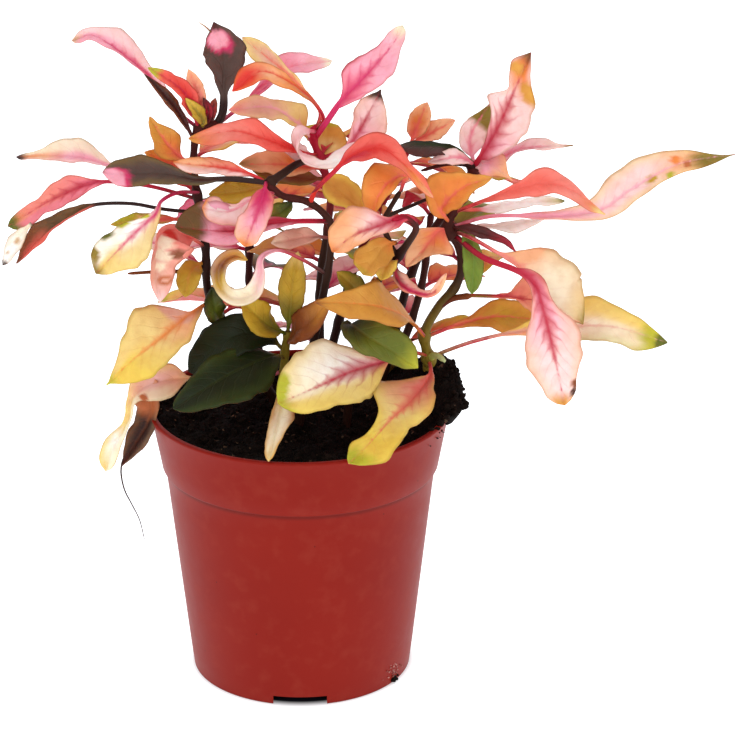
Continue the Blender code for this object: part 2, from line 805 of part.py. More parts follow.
def leaf(
    route,
    width,
    facing=(0, 0.4, 0.9),
    petiole=0.12,
    widest=0.5,
    fold=0.3,
    wave=0.8,
    waves=1.4,
    edge=None,
    lean=0.0,
    widths=None,
    phase=0.0,
):
    """One leaf as (points, faces), from its root inside the stem to its tip.

    The upper side looks toward facing. On a curled leaf, edge gives the direction of its
    right-hand edge instead. A positive lean makes its left half the wider one, and widths gives
    the blade's whole widths from its base to its tip where a plain oval is not near enough.
    """
    count = max(LEAST_STATIONS, round(length_of(route) / STATION_STEP))
    centres = smooth(route, count)
    tangents = np.gradient(centres, axis=0)
    rings = []
    for station, (centre, tangent) in enumerate(zip(centres, tangents)):
        tangent = unit(tangent)
        if edge:
            side = unit(toward(*edge) - tangent * np.dot(toward(*edge), tangent))
        else:
            side = unit(np.cross(tangent, toward(*facing)))
        normal = np.cross(side, tangent)
        along = station / (count - 1)
        blade = min(max((along - petiole) / (1 - petiole), 0), 1)
        least = STALK_HALF_WIDTH + (TIP_HALF_WIDTH - STALK_HALF_WIDTH) * blade
        half = max(least, width / 2 * blade_shape(blade, widest, widths))
        flat = min(1, half / FULL_BLADE_HALF_WIDTH)
        thickness = STALK_THICKNESS + (BLADE_THICKNESS - STALK_THICKNESS) * flat
        ripple = wave * flat * math.sin(math.pi * blade)
        top = []
        for hand in (-1, 0, 1):
            reach = half * (1 - hand * lean * flat)
            rise = (abs(hand) - MIDRIB_DROP) * reach * math.sin(fold) * flat
            swing = math.tau * waves * blade + HAND_PHASE * hand + phase
            rise += abs(hand) * ripple * math.sin(swing)
            top.append(centre + side * hand * reach * math.cos(fold) + normal * rise)
        rings.append(
            [point + normal * thickness / 2 for point in top]
            + [point - normal * thickness / 2 for point in top]
        )
    return [point for ring in rings for point in ring], lofted(rings)


def tube(route, root_radius, tip_radius, sides=STEM_SIDES, step=STEM_STEP):
    """A tapering round stem along a route of points in space, as (points, faces)."""
    count = max(3, round(length_of(route) / step) + 1)
    centres = smooth(route, count)
    tangents = np.gradient(centres, axis=0)
    side = unit(np.cross(tangents[0], (0.2, 1, 0.1)))
    points = []
    for station, (centre, tangent) in enumerate(zip(centres, tangents)):
        tangent = unit(tangent)
        side = unit(side - tangent * np.dot(side, tangent))
        across = np.cross(tangent, side)
        radius = root_radius + (tip_radius - root_radius) * station / (count - 1)
        for corner in range(sides):
            angle = math.tau * corner / sides
            points.append(centre + radius * (side * math.cos(angle) + across * math.sin(angle)))
    faces = [tuple(reversed(range(sides)))]
    for station in range(count - 1):
        here = station * sides
        for corner in range(sides):
            after = (corner + 1) % sides
            faces.append((here + corner, here + after, here + sides + after, here + sides + corner))
    faces.append(tuple(range((count - 1) * sides, count * sides)))
    return points, faces


def soil_height(x, y):
    """The height of the soil over the base, with the mound at the right and small lumps."""
    away = ((x - MOUND_X) ** 2 + (y - MOUND_Y) ** 2) / (2 * MOUND_SPREAD**2)
    lumps = BROAD_LUMP * math.sin(0.31 * x + 1) * math.cos(0.27 * y)
    lumps += FINE_LUMP * math.sin(0.62 * x - 0.5 * y)
    return SOIL_LEVEL + MOUND_HEIGHT * math.exp(-away) + lumps


def inner_wall(z):
    """The radius of the pot's inner face at a height over its floor."""
    if z > BAND_BOTTOM:
        share = (z - BAND_BOTTOM) / (POT_HEIGHT - BAND_BOTTOM)
        return BAND_BOTTOM_RADIUS - WALL + (RIM_INNER_RADIUS - BAND_BOTTOM_RADIUS + WALL) * share
    return BASE_RADIUS - WALL + (BODY_TOP_RADIUS - BASE_RADIUS) * z / BAND_BOTTOM


def turned(profile, sides):
    """A solid of revolution about Z as (points, faces), from a profile that starts and ends on it."""
    middle = profile[1:-1]
    points = [np.array([0, 0, profile[0][1]])]
    for radius, z in middle:
        for corner in range(sides):
            angle = math.tau * corner / sides
            points.append(np.array([radius * math.cos(angle), radius * math.sin(angle), z]))
    points.append(np.array([0, 0, profile[-1][1]]))
    last = len(points) - 1
    faces = []
    for corner in range(sides):
        after = (corner + 1) % sides
        faces.append((0, 1 + after, 1 + corner))
        for ring in range(len(middle) - 1):
            here = 1 + ring * sides
            there = here + sides
            faces.append((here + corner, here + after, there + after, there + corner))
        end = 1 + (len(middle) - 1) * sides
        faces.append((last, end + corner, end + after))
    return points, faces


def combine(part, others, operation, solver):
    """Joins or cuts a list of helper objects to or from a part in one step, and removes them."""
    group = bpy.data.collections.new(part.name + "_helpers")
    for other in others:
        group.objects.link(other)
    boolean = part.modifiers.new(operation.title(), "BOOLEAN")
    boolean.operation = operation
    boolean.operand_type = "COLLECTION"
    boolean.collection = group
    boolean.solver = solver
    graph = bpy.context.evaluated_depsgraph_get()
    joined = bpy.data.meshes.new_from_object(part.evaluated_get(graph))
    part.modifiers.clear()
    part.data = joined
    for other in others:
        bpy.data.objects.remove(other)
    bpy.data.collections.remove(group)


def make_pot(material):
    """The nursery pot: a turned wall with a rim band, foot notches and drain holes."""
    foot_inner = BASE_RADIUS - FOOT_WIDTH
    profile = [
        (0, 0),
        (HUB_RADIUS, 0),
        (HUB_RADIUS + FOOT_DRAFT, FOOT_HEIGHT),
        (foot_inner - FOOT_DRAFT, FOOT_HEIGHT),
        (foot_inner, 0),
        (BASE_RADIUS, 0),
        (BODY_TOP_RADIUS, BAND_BOTTOM - BAND_STEP),
        (BAND_BOTTOM_RADIUS, BAND_BOTTOM + BAND_STEP),
        (RIM_RADIUS - 0.5, POT_HEIGHT - 4 * RIM_ROUND),
        (RIM_RADIUS, POT_HEIGHT - 3 * RIM_ROUND),
        (RIM_RADIUS - RIM_ROUND, POT_HEIGHT),
        (RIM_INNER_RADIUS + 0.2, POT_HEIGHT),
        (RIM_INNER_RADIUS, POT_HEIGHT - 2 * RIM_ROUND),
        (inner_wall(BAND_INSIDE_TOP), BAND_INSIDE_TOP),
        (inner_wall(BAND_INSIDE_BOTTOM), BAND_INSIDE_BOTTOM),
        (inner_wall(FLOOR_TOP), FLOOR_TOP),
        (0, FLOOR_TOP),
    ]
    pot = mesh_object("pot", *turned(profile, POT_SIDES), material)
    cutters = []
    for notch in range(NOTCH_COUNT):
        angle = -math.pi / 2 + math.tau * notch / NOTCH_COUNT
        start = foot_inner - NOTCH_OVERCUT
        cutters.append(make_notch(angle, start, BASE_RADIUS + NOTCH_OVERCUT, material))
    for drain in range(DRAIN_COUNT):
        angle = math.tau * (drain + 0.5) / DRAIN_COUNT
        x = DRAIN_CIRCLE * math.cos(angle)
        y = DRAIN_CIRCLE * math.sin(angle)
        route = [(x, y, FOOT_HEIGHT - 2), (x, y, FLOOR_TOP + 2)]
        hole = tube(route, DRAIN_RADIUS, DRAIN_RADIUS, DRAIN_SIDES)
        cutters.append(mesh_object("drain", *hole, material))
    combine(pot, cutters, "DIFFERENCE", "EXACT")


def make_notch(angle, start, end, material):
    """A box that runs outward at an angle and cuts one notch in the foot ring."""
    outward = np.array([math.cos(angle), math.sin(angle), 0])
    across = np.array([-math.sin(angle), math.cos(angle), 0]) * NOTCH_WIDTH / 2
    points = []
    for distance in (start, end):
        for z in (-NOTCH_OVERCUT, NOTCH_ROOF):
            for hand in (-1, 1):
                points.append(outward * distance + across * hand + np.array([0, 0, z]))
    faces = [(0, 2, 3, 1), (4, 5, 7, 6), (0, 1, 5, 4), (2, 6, 7, 3), (0, 4, 6, 2), (1, 3, 7, 5)]
    return mesh_object("notch", points, faces, material)


def make_soil(material, stems):
    """The soil body: it follows the pot's inner wall, and its top is lumpy and heaped at the right."""
    points = [np.array([0, 0, FLOOR_TOP + CLEAR])]
    rings = 0

    def add_ring(radius_at, height_at):
        for corner in range(SOIL_SIDES):
            angle = math.tau * corner / SOIL_SIDES
            radius = radius_at(angle)
            x = radius * math.cos(angle)
            y = radius * math.sin(angle)
            points.append(np.array([x, y, height_at(x, y)]))

    def heap(angle):
        """How far the mound reaches over the rim at this angle, from 0 to 1."""
        step = math.tau / SOIL_SIDES
        near = [angle - step, angle, angle + step]
        lowest = min(soil_height(RIM_RADIUS * math.cos(a), RIM_RADIUS * math.sin(a)) for a in near)
        return min(max((lowest - POT_HEIGHT - HEAP_START) / (HEAP_FULL - HEAP_START), 0), 1)

    for z in (FLOOR_TOP + CLEAR, BAND_INSIDE_BOTTOM - CLEAR, BAND_INSIDE_TOP + CLEAR):
        add_ring(lambda angle, z=z: inner_wall(z) - CLEAR, lambda x, y, z=z: z)
        rings += 1
    edge = RIM_INNER_RADIUS - CLEAR
    over = POT_HEIGHT + CLEAR

    def edge_height(x, y):
        return min(soil_height(x, y) - SOIL_EDGE_DROP, over)

    def wall_radius(angle):
        z = edge_height(edge * math.cos(angle), edge * math.sin(angle))
        return inner_wall(min(z, POT_HEIGHT)) - CLEAR

    add_ring(wall_radius, edge_height)
    rings += 1

    def shoulder_radius(angle):
        inward = wall_radius(angle) - SOIL_EDGE_ROUND
        return inward + (SOIL_OVERHANG + SOIL_EDGE_ROUND) * heap(angle)

    def shoulder_height(x, y):
        return max(edge_height(x, y) + 0.3, min(soil_height(x, y) - 0.2, over + 1.6))

    add_ring(shoulder_radius, shoulder_height)
    rings += 1
    for ring in range(SOIL_RINGS - 1):
        share = 1 - (ring + 0.6) / SOIL_RINGS
        add_ring(lambda angle, share=share: edge * share, soil_height)
        rings += 1
    points.append(np.array([0, 0, soil_height(0, 0)]))
    faces = []
    last = len(points) - 1
    for corner in range(SOIL_SIDES):
        after = (corner + 1) % SOIL_SIDES
        faces.append((0, 1 + after, 1 + corner))
        for ring in range(rings - 1):
            here = 1 + ring * SOIL_SIDES
            there = here + SOIL_SIDES
            faces.append((here + corner, here + after, there + after))
            faces.append((here + corner, there + after, there + corner))
        end = 1 + (rings - 1) * SOIL_SIDES
        faces.append((last, end + corner, end + after))
    soil = mesh_object("soil", points, faces, material)
    cutters = []
    for x, y, radius in stems:
        route = [(x, y, foot_of_stem(x, y) - CLEAR), (x, y, soil_height(x, y) + 6)]
        wide = radius + HOLE_CLEAR
        cutters.append(mesh_object("hole", *tube(route, wide, wide, HOLE_SIDES), material))
    combine(soil, cutters, "DIFFERENCE", "EXACT")


def foot_of_stem(x, y):
    """How high the buried end of a stem lies."""
    return soil_height(x, y) - STEM_DEPTH


def planted(route):
    """A stem's route in space, with a straight stretch down into the soil before it."""
    above = [place(*point) for point in route]
    x, y, _ = above[0]
    top = soil_height(x, y)
    foot = foot_of_stem(x, y)
    below = [np.array([x, y, z]) for z in (foot, (2 * foot + top) / 3, (foot + 2 * top) / 3)]
    return below + [np.array([x, y, top + STRAIGHT_OVER_SOIL])] + above[1:]


def pairs(route, shares, length, width, seed, turn, backward=ALL_BUT_FRONT):
    """Opposite pairs of leaves up a stem, each pair turned a quarter from the last.

    The stem's route is in space. A leaf that points less far back than the given limit is left
    out. Returns (route, width) of each leaf, in space too.
    """
    draw = random.Random(seed)
    line = smooth(route, PAIR_STATIONS)
    found = []
    for order, share in enumerate(shares):
        base = line[round(share * (PAIR_STATIONS - 1))]
        for hand in (0, math.pi):
            angle = turn + hand + order * math.pi / 2 + draw.uniform(-0.35, 0.35)
            reach = length * draw.uniform(0.8, 1.1) * (1.1 - 0.35 * share)
            lift = draw.uniform(0.25, 0.6)
            droop = draw.uniform(0.35, 0.75)
            outward = np.array([math.cos(angle), math.sin(angle), 0])
            if outward[1] < backward:
                continue
            points = []
            for step in (0, 0.25, 0.5, 0.75, 1):
                rise = reach * (lift * step - droop * step**2)
                points.append(base + outward * reach * step * 0.92 + np.array([0, 0, rise]))
            found.append((points, width * draw.uniform(0.85, 1.1)))
    return found


def make_shoot(name, shoot, material):
    """One leafy stem: its stems and leaves joined into one solid."""
    solids = []
    for order, (route, root_radius, tip_radius) in enumerate(shoot["stems"]):
        points = planted(route) if order == 0 else [place(*point) for point in route]
        step = STEM_STEP if order == 0 else BRANCH_STEP
        solids.append(tube(points, root_radius, tip_radius, STEM_SIDES, step))
    for route, width, shape in shoot["leaves"]:
        points = [place(*point) for point in route]
        solids.append(leaf(points, width, phase=LEAF_PHASE * len(solids), **shape))
    if "pairs" in shoot:
        line = [place(*point) for point in shoot["stems"][0][0]]
        for points, width in pairs(line, **shoot["pairs"]):
            phase = LEAF_PHASE * len(solids)
            solids.append(leaf(points, width, facing=UPWARD, phase=phase))
    pieces = [mesh_object(name, *solid, material) for solid in solids]
    combine(pieces[0], pieces[1:], "UNION", "MANIFOLD")


def main():
    for part in list(bpy.data.objects):
        bpy.data.objects.remove(part)
    make_pot(plain_material("pot", PLASTIC_ROUGHNESS))
    stems = []
    for shoot in SHOOTS.values():
        route, root_radius, _ = shoot["stems"][0]
        x, y, _ = place(*route[0])
        stems.append((x, y, root_radius))
    make_soil(plain_material("soil", SOIL_ROUGHNESS), stems)
    for name, shoot in SHOOTS.items():
        make_shoot(name, shoot, plain_material(name, LEAF_ROUGHNESS))
    for part in bpy.data.objects:
        part.data.shade_smooth()
        part.data.set_sharp_from_angle(angle=SHARP_ANGLE)


main()
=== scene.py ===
"""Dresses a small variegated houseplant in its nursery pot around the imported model.

Lengths are in millimetres until a mesh is made, +Z is up and the front is -Y. A shoot's stems
and leaves are lists with a paragraph for each. A stem's says its radius at its root and tip, its
route and its colours. A leaf's says its width, its route, its look and, where it isn't a plain
oval, its shape. A route's points are as seen from the front, looking down a little: across, up
from the aim point, and the depth behind the pot's axis. read_look and read_shape say more.
"""

import math
import random

import bmesh
import bpy
import numpy as np
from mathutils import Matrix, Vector, noise

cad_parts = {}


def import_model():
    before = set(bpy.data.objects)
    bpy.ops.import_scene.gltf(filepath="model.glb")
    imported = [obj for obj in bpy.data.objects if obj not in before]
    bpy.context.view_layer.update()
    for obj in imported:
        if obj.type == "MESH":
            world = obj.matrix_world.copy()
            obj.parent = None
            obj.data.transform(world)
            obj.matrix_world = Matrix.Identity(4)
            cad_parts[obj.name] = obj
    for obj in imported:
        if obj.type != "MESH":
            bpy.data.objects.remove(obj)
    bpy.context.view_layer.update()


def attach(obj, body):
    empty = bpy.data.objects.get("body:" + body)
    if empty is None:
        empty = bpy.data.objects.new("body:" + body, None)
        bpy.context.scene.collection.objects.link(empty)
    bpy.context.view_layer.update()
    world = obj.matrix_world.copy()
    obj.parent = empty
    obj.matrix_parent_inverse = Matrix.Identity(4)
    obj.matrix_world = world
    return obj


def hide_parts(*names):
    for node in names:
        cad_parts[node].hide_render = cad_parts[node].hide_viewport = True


MM = 0.001

# The viewpoint of the leaf and stem routes, which is the camera's too
VIEW_PITCH = math.radians(21.81)
EYE_DISTANCE = 1061.0
AIM_ACROSS = 20.22
AIM_HEIGHT = 95.16
SIN_PITCH = math.sin(VIEW_PITCH)
COS_PITCH = math.cos(VIEW_PITCH)
LENS = 175.07
SENSOR = 36.0

# Points read from a smooth curve for each point that it is drawn through
CURVE_DETAIL = 12

# Pot
POT_HEIGHT = 83.5
BASE_RADIUS = 32.9
BAND_BOTTOM = 65.2
BODY_TOP_RADIUS = 40.3
BAND_BOTTOM_RADIUS = 41.2
RIM_RADIUS = 45.0
RIM_INNER_RADIUS = 43.2
RIM_ROUND = 0.55
INNER_ROUND = 0.4
WALL = 1.1
FOOT_HEIGHT = 3.0
FOOT_WIDTH = 2.4
FLOOR_TOP = 4.4
HUB_RADIUS = 7.0
POT_SIDES = 144
NOTCH_COUNT = 3
NOTCH_WIDTH = 16.0
DRAIN_COUNT = 6
DRAIN_RADIUS = 3.6
DRAIN_CIRCLE = 20.0
DRAIN_SIDES = 28
SHARP_EDGE = math.radians(40)
# Heights of the pot's painted shade: near black on the inner wall up to the first, and a dark line round
# the second
INNER_SHADE_TO = 83.6
UNDER_BAND = 64.6

# Soil
CLEAR = 0.3
SOIL_LEVEL = 78.5
MOUND_HEIGHT = 15.5
MOUND_X = 41.0
MOUND_Y = 11.0
MOUND_SPREAD = 10.5
SPILL_HEIGHT = 85.8
SPILL_RADIUS = 49.0
SPILL_FROM = -24.0
SPILL_TO = 62.0
SPILL_TUCK = 0.12
SOIL_BANK = 2.2
BASE_CLUMP_ANGLE = -32.0
SOIL_SIDES = 180
SOIL_RINGS = 46
STEM_DEPTH = 20.0

# Crumbs strewn over the soil: how many for each square centimetre, the smallest and the largest
# radius, and the seed
SMALL_CRUMBS = (22, 0.35, 0.9, 3)
LARGE_CRUMBS = (5, 0.9, 1.9, 5)
# Crumbs at the pot's foot: how many, their spread in degrees, the lowest and the highest, and the
# smallest and the largest radius
BASE_CRUMBS = (10, 1.4, 0.6, 2.2, 0.4, 0.8)
BASE_GRAINS = (34, 3.6, 1.8, 7.0, 0.14, 0.3)
SPILT_CRUMBS = 150
FALLEN_CRUMBS = 7
CRUMB_INPUTS = ("Surface", "Crumbs for each square metre", "Smallest", "Largest", "Seed")

# Floor and light
SKY_STRENGTH = 0.85
FLOOR_GLOW = 0.75
FLOOR_HALF = 4000
# The table's painted contact shadow is full inside the first radius and gone by the second; beyond, it
# glows and is pale
GLOW_FROM = 30.0
GLOW_FULL = 34.5
LIGHTS = [("key light", 4.5, 0.8, (-0.5, -0.8, 1.3), (0, 0, 0.1)),
          ("fill light", 2.0, 1.2, (1.0, -0.7, 0.8), (0, 0, 0.1))]

# Leaves and stems
STALK_HALF_WIDTH = 0.6
TIP_HALF_WIDTH = 0.4
FULL_BLADE_HALF_WIDTH = 2.0
BROADENING = 1.4
TIP_TAPER = 0.75
MIDRIB_DROP = 0.45
HAND_PHASE = 1.3
LEAF_PHASE = 2.4
LEAF_STEP = 0.95
LEAST_STATIONS = 14
NARROW_COLUMNS = 9
WIDE_COLUMNS = 13
WIDE_FROM = 8.0
BLADE_HALF_THICKNESS = 0.2
HALVES_ARCH = 0.55
ROUNDED_END = 0.88
STALK_HALF_THICKNESS = 0.56
EDGE_HALF_THICKNESS = 0.02
RIB_HALF_WIDTH = 0.5
RIB_SUNK_ABOVE = 0.1
RIB_PROUD_BELOW = 0.34
FRILLS = 4.1
FRILL_HEIGHT = 0.28
QUILT_HEIGHT = 0.2
VEIN_SPACING = 4.6
VEIN_SLOPE = 1.15
VEIN_STAGGER = 0.22
STEM_SIDES = 14
STEM_STEP = 1.3
STEM_ENDS = 0.55
JOINT_SWELLING = 0.22
JOINT_LENGTH = 1.7
RIDGES = 3
RIDGE_DEPTH = 0.035
PAIR_STATIONS = 60

# A blade's coarse and fine teeth, as how often they come and their share of its width
TEETH = ((31, 0.025), (53, 0.02))

# The leaf material's noises, as their size in millimetres and their detail
LEAF_CLOUDS = ((7, 2), (5, 3), (3.2, 5), (1.4, 3))
LEAF_PALE = (1, 0.93, 0.84, 1)
LEAF_DEEP = (0.78, 0.62, 0.5, 1)
LEAF_MARGIN = (0.5, 0.4, 0.22, 1)

# How far back a paired leaf must point, as the sine of its bearing: on a back stem, and on a
# stem whose front leaves are all listed
ALL_BUT_FRONT = -0.35
REAR_ONLY = 0.3

# The side that paired leaves show, as across, up and toward the viewer
UPWARD = (0, 1, 0.4)

COLOURS = {"white": "#FBF4EC", "cream": "#F7E6C6", "straw": "#EBCB80", "blush": "#F8CFCB",
           "pink": "#F0A3B4", "rose": "#EA7C8E", "dusty": "#E3AA94", "salmon": "#F08A7C",
           "magenta": "#CF2C63", "crimson": "#B81836", "red": "#D93228", "coral": "#EA6658",
           "orange": "#E58238", "peach": "#F4B284", "golden": "#D0923A", "yellow": "#E9C650",
           "lime": "#B2B22C", "pale_green": "#BFC98C", "green": "#5E681A", "dark_green": "#18220A",
           "olive": "#847224", "ochre": "#BE9A2C", "tan": "#CDA57C", "bark": "#4E3B33",
           "bronze": "#5F431C", "rust": "#B8673A", "leaf_green": "#6E8A2E", "brown": "#7E431F",
           "dark_brown": "#3A241A", "maroon": "#4A1B18", "dark_stalk": "#2A140F"}

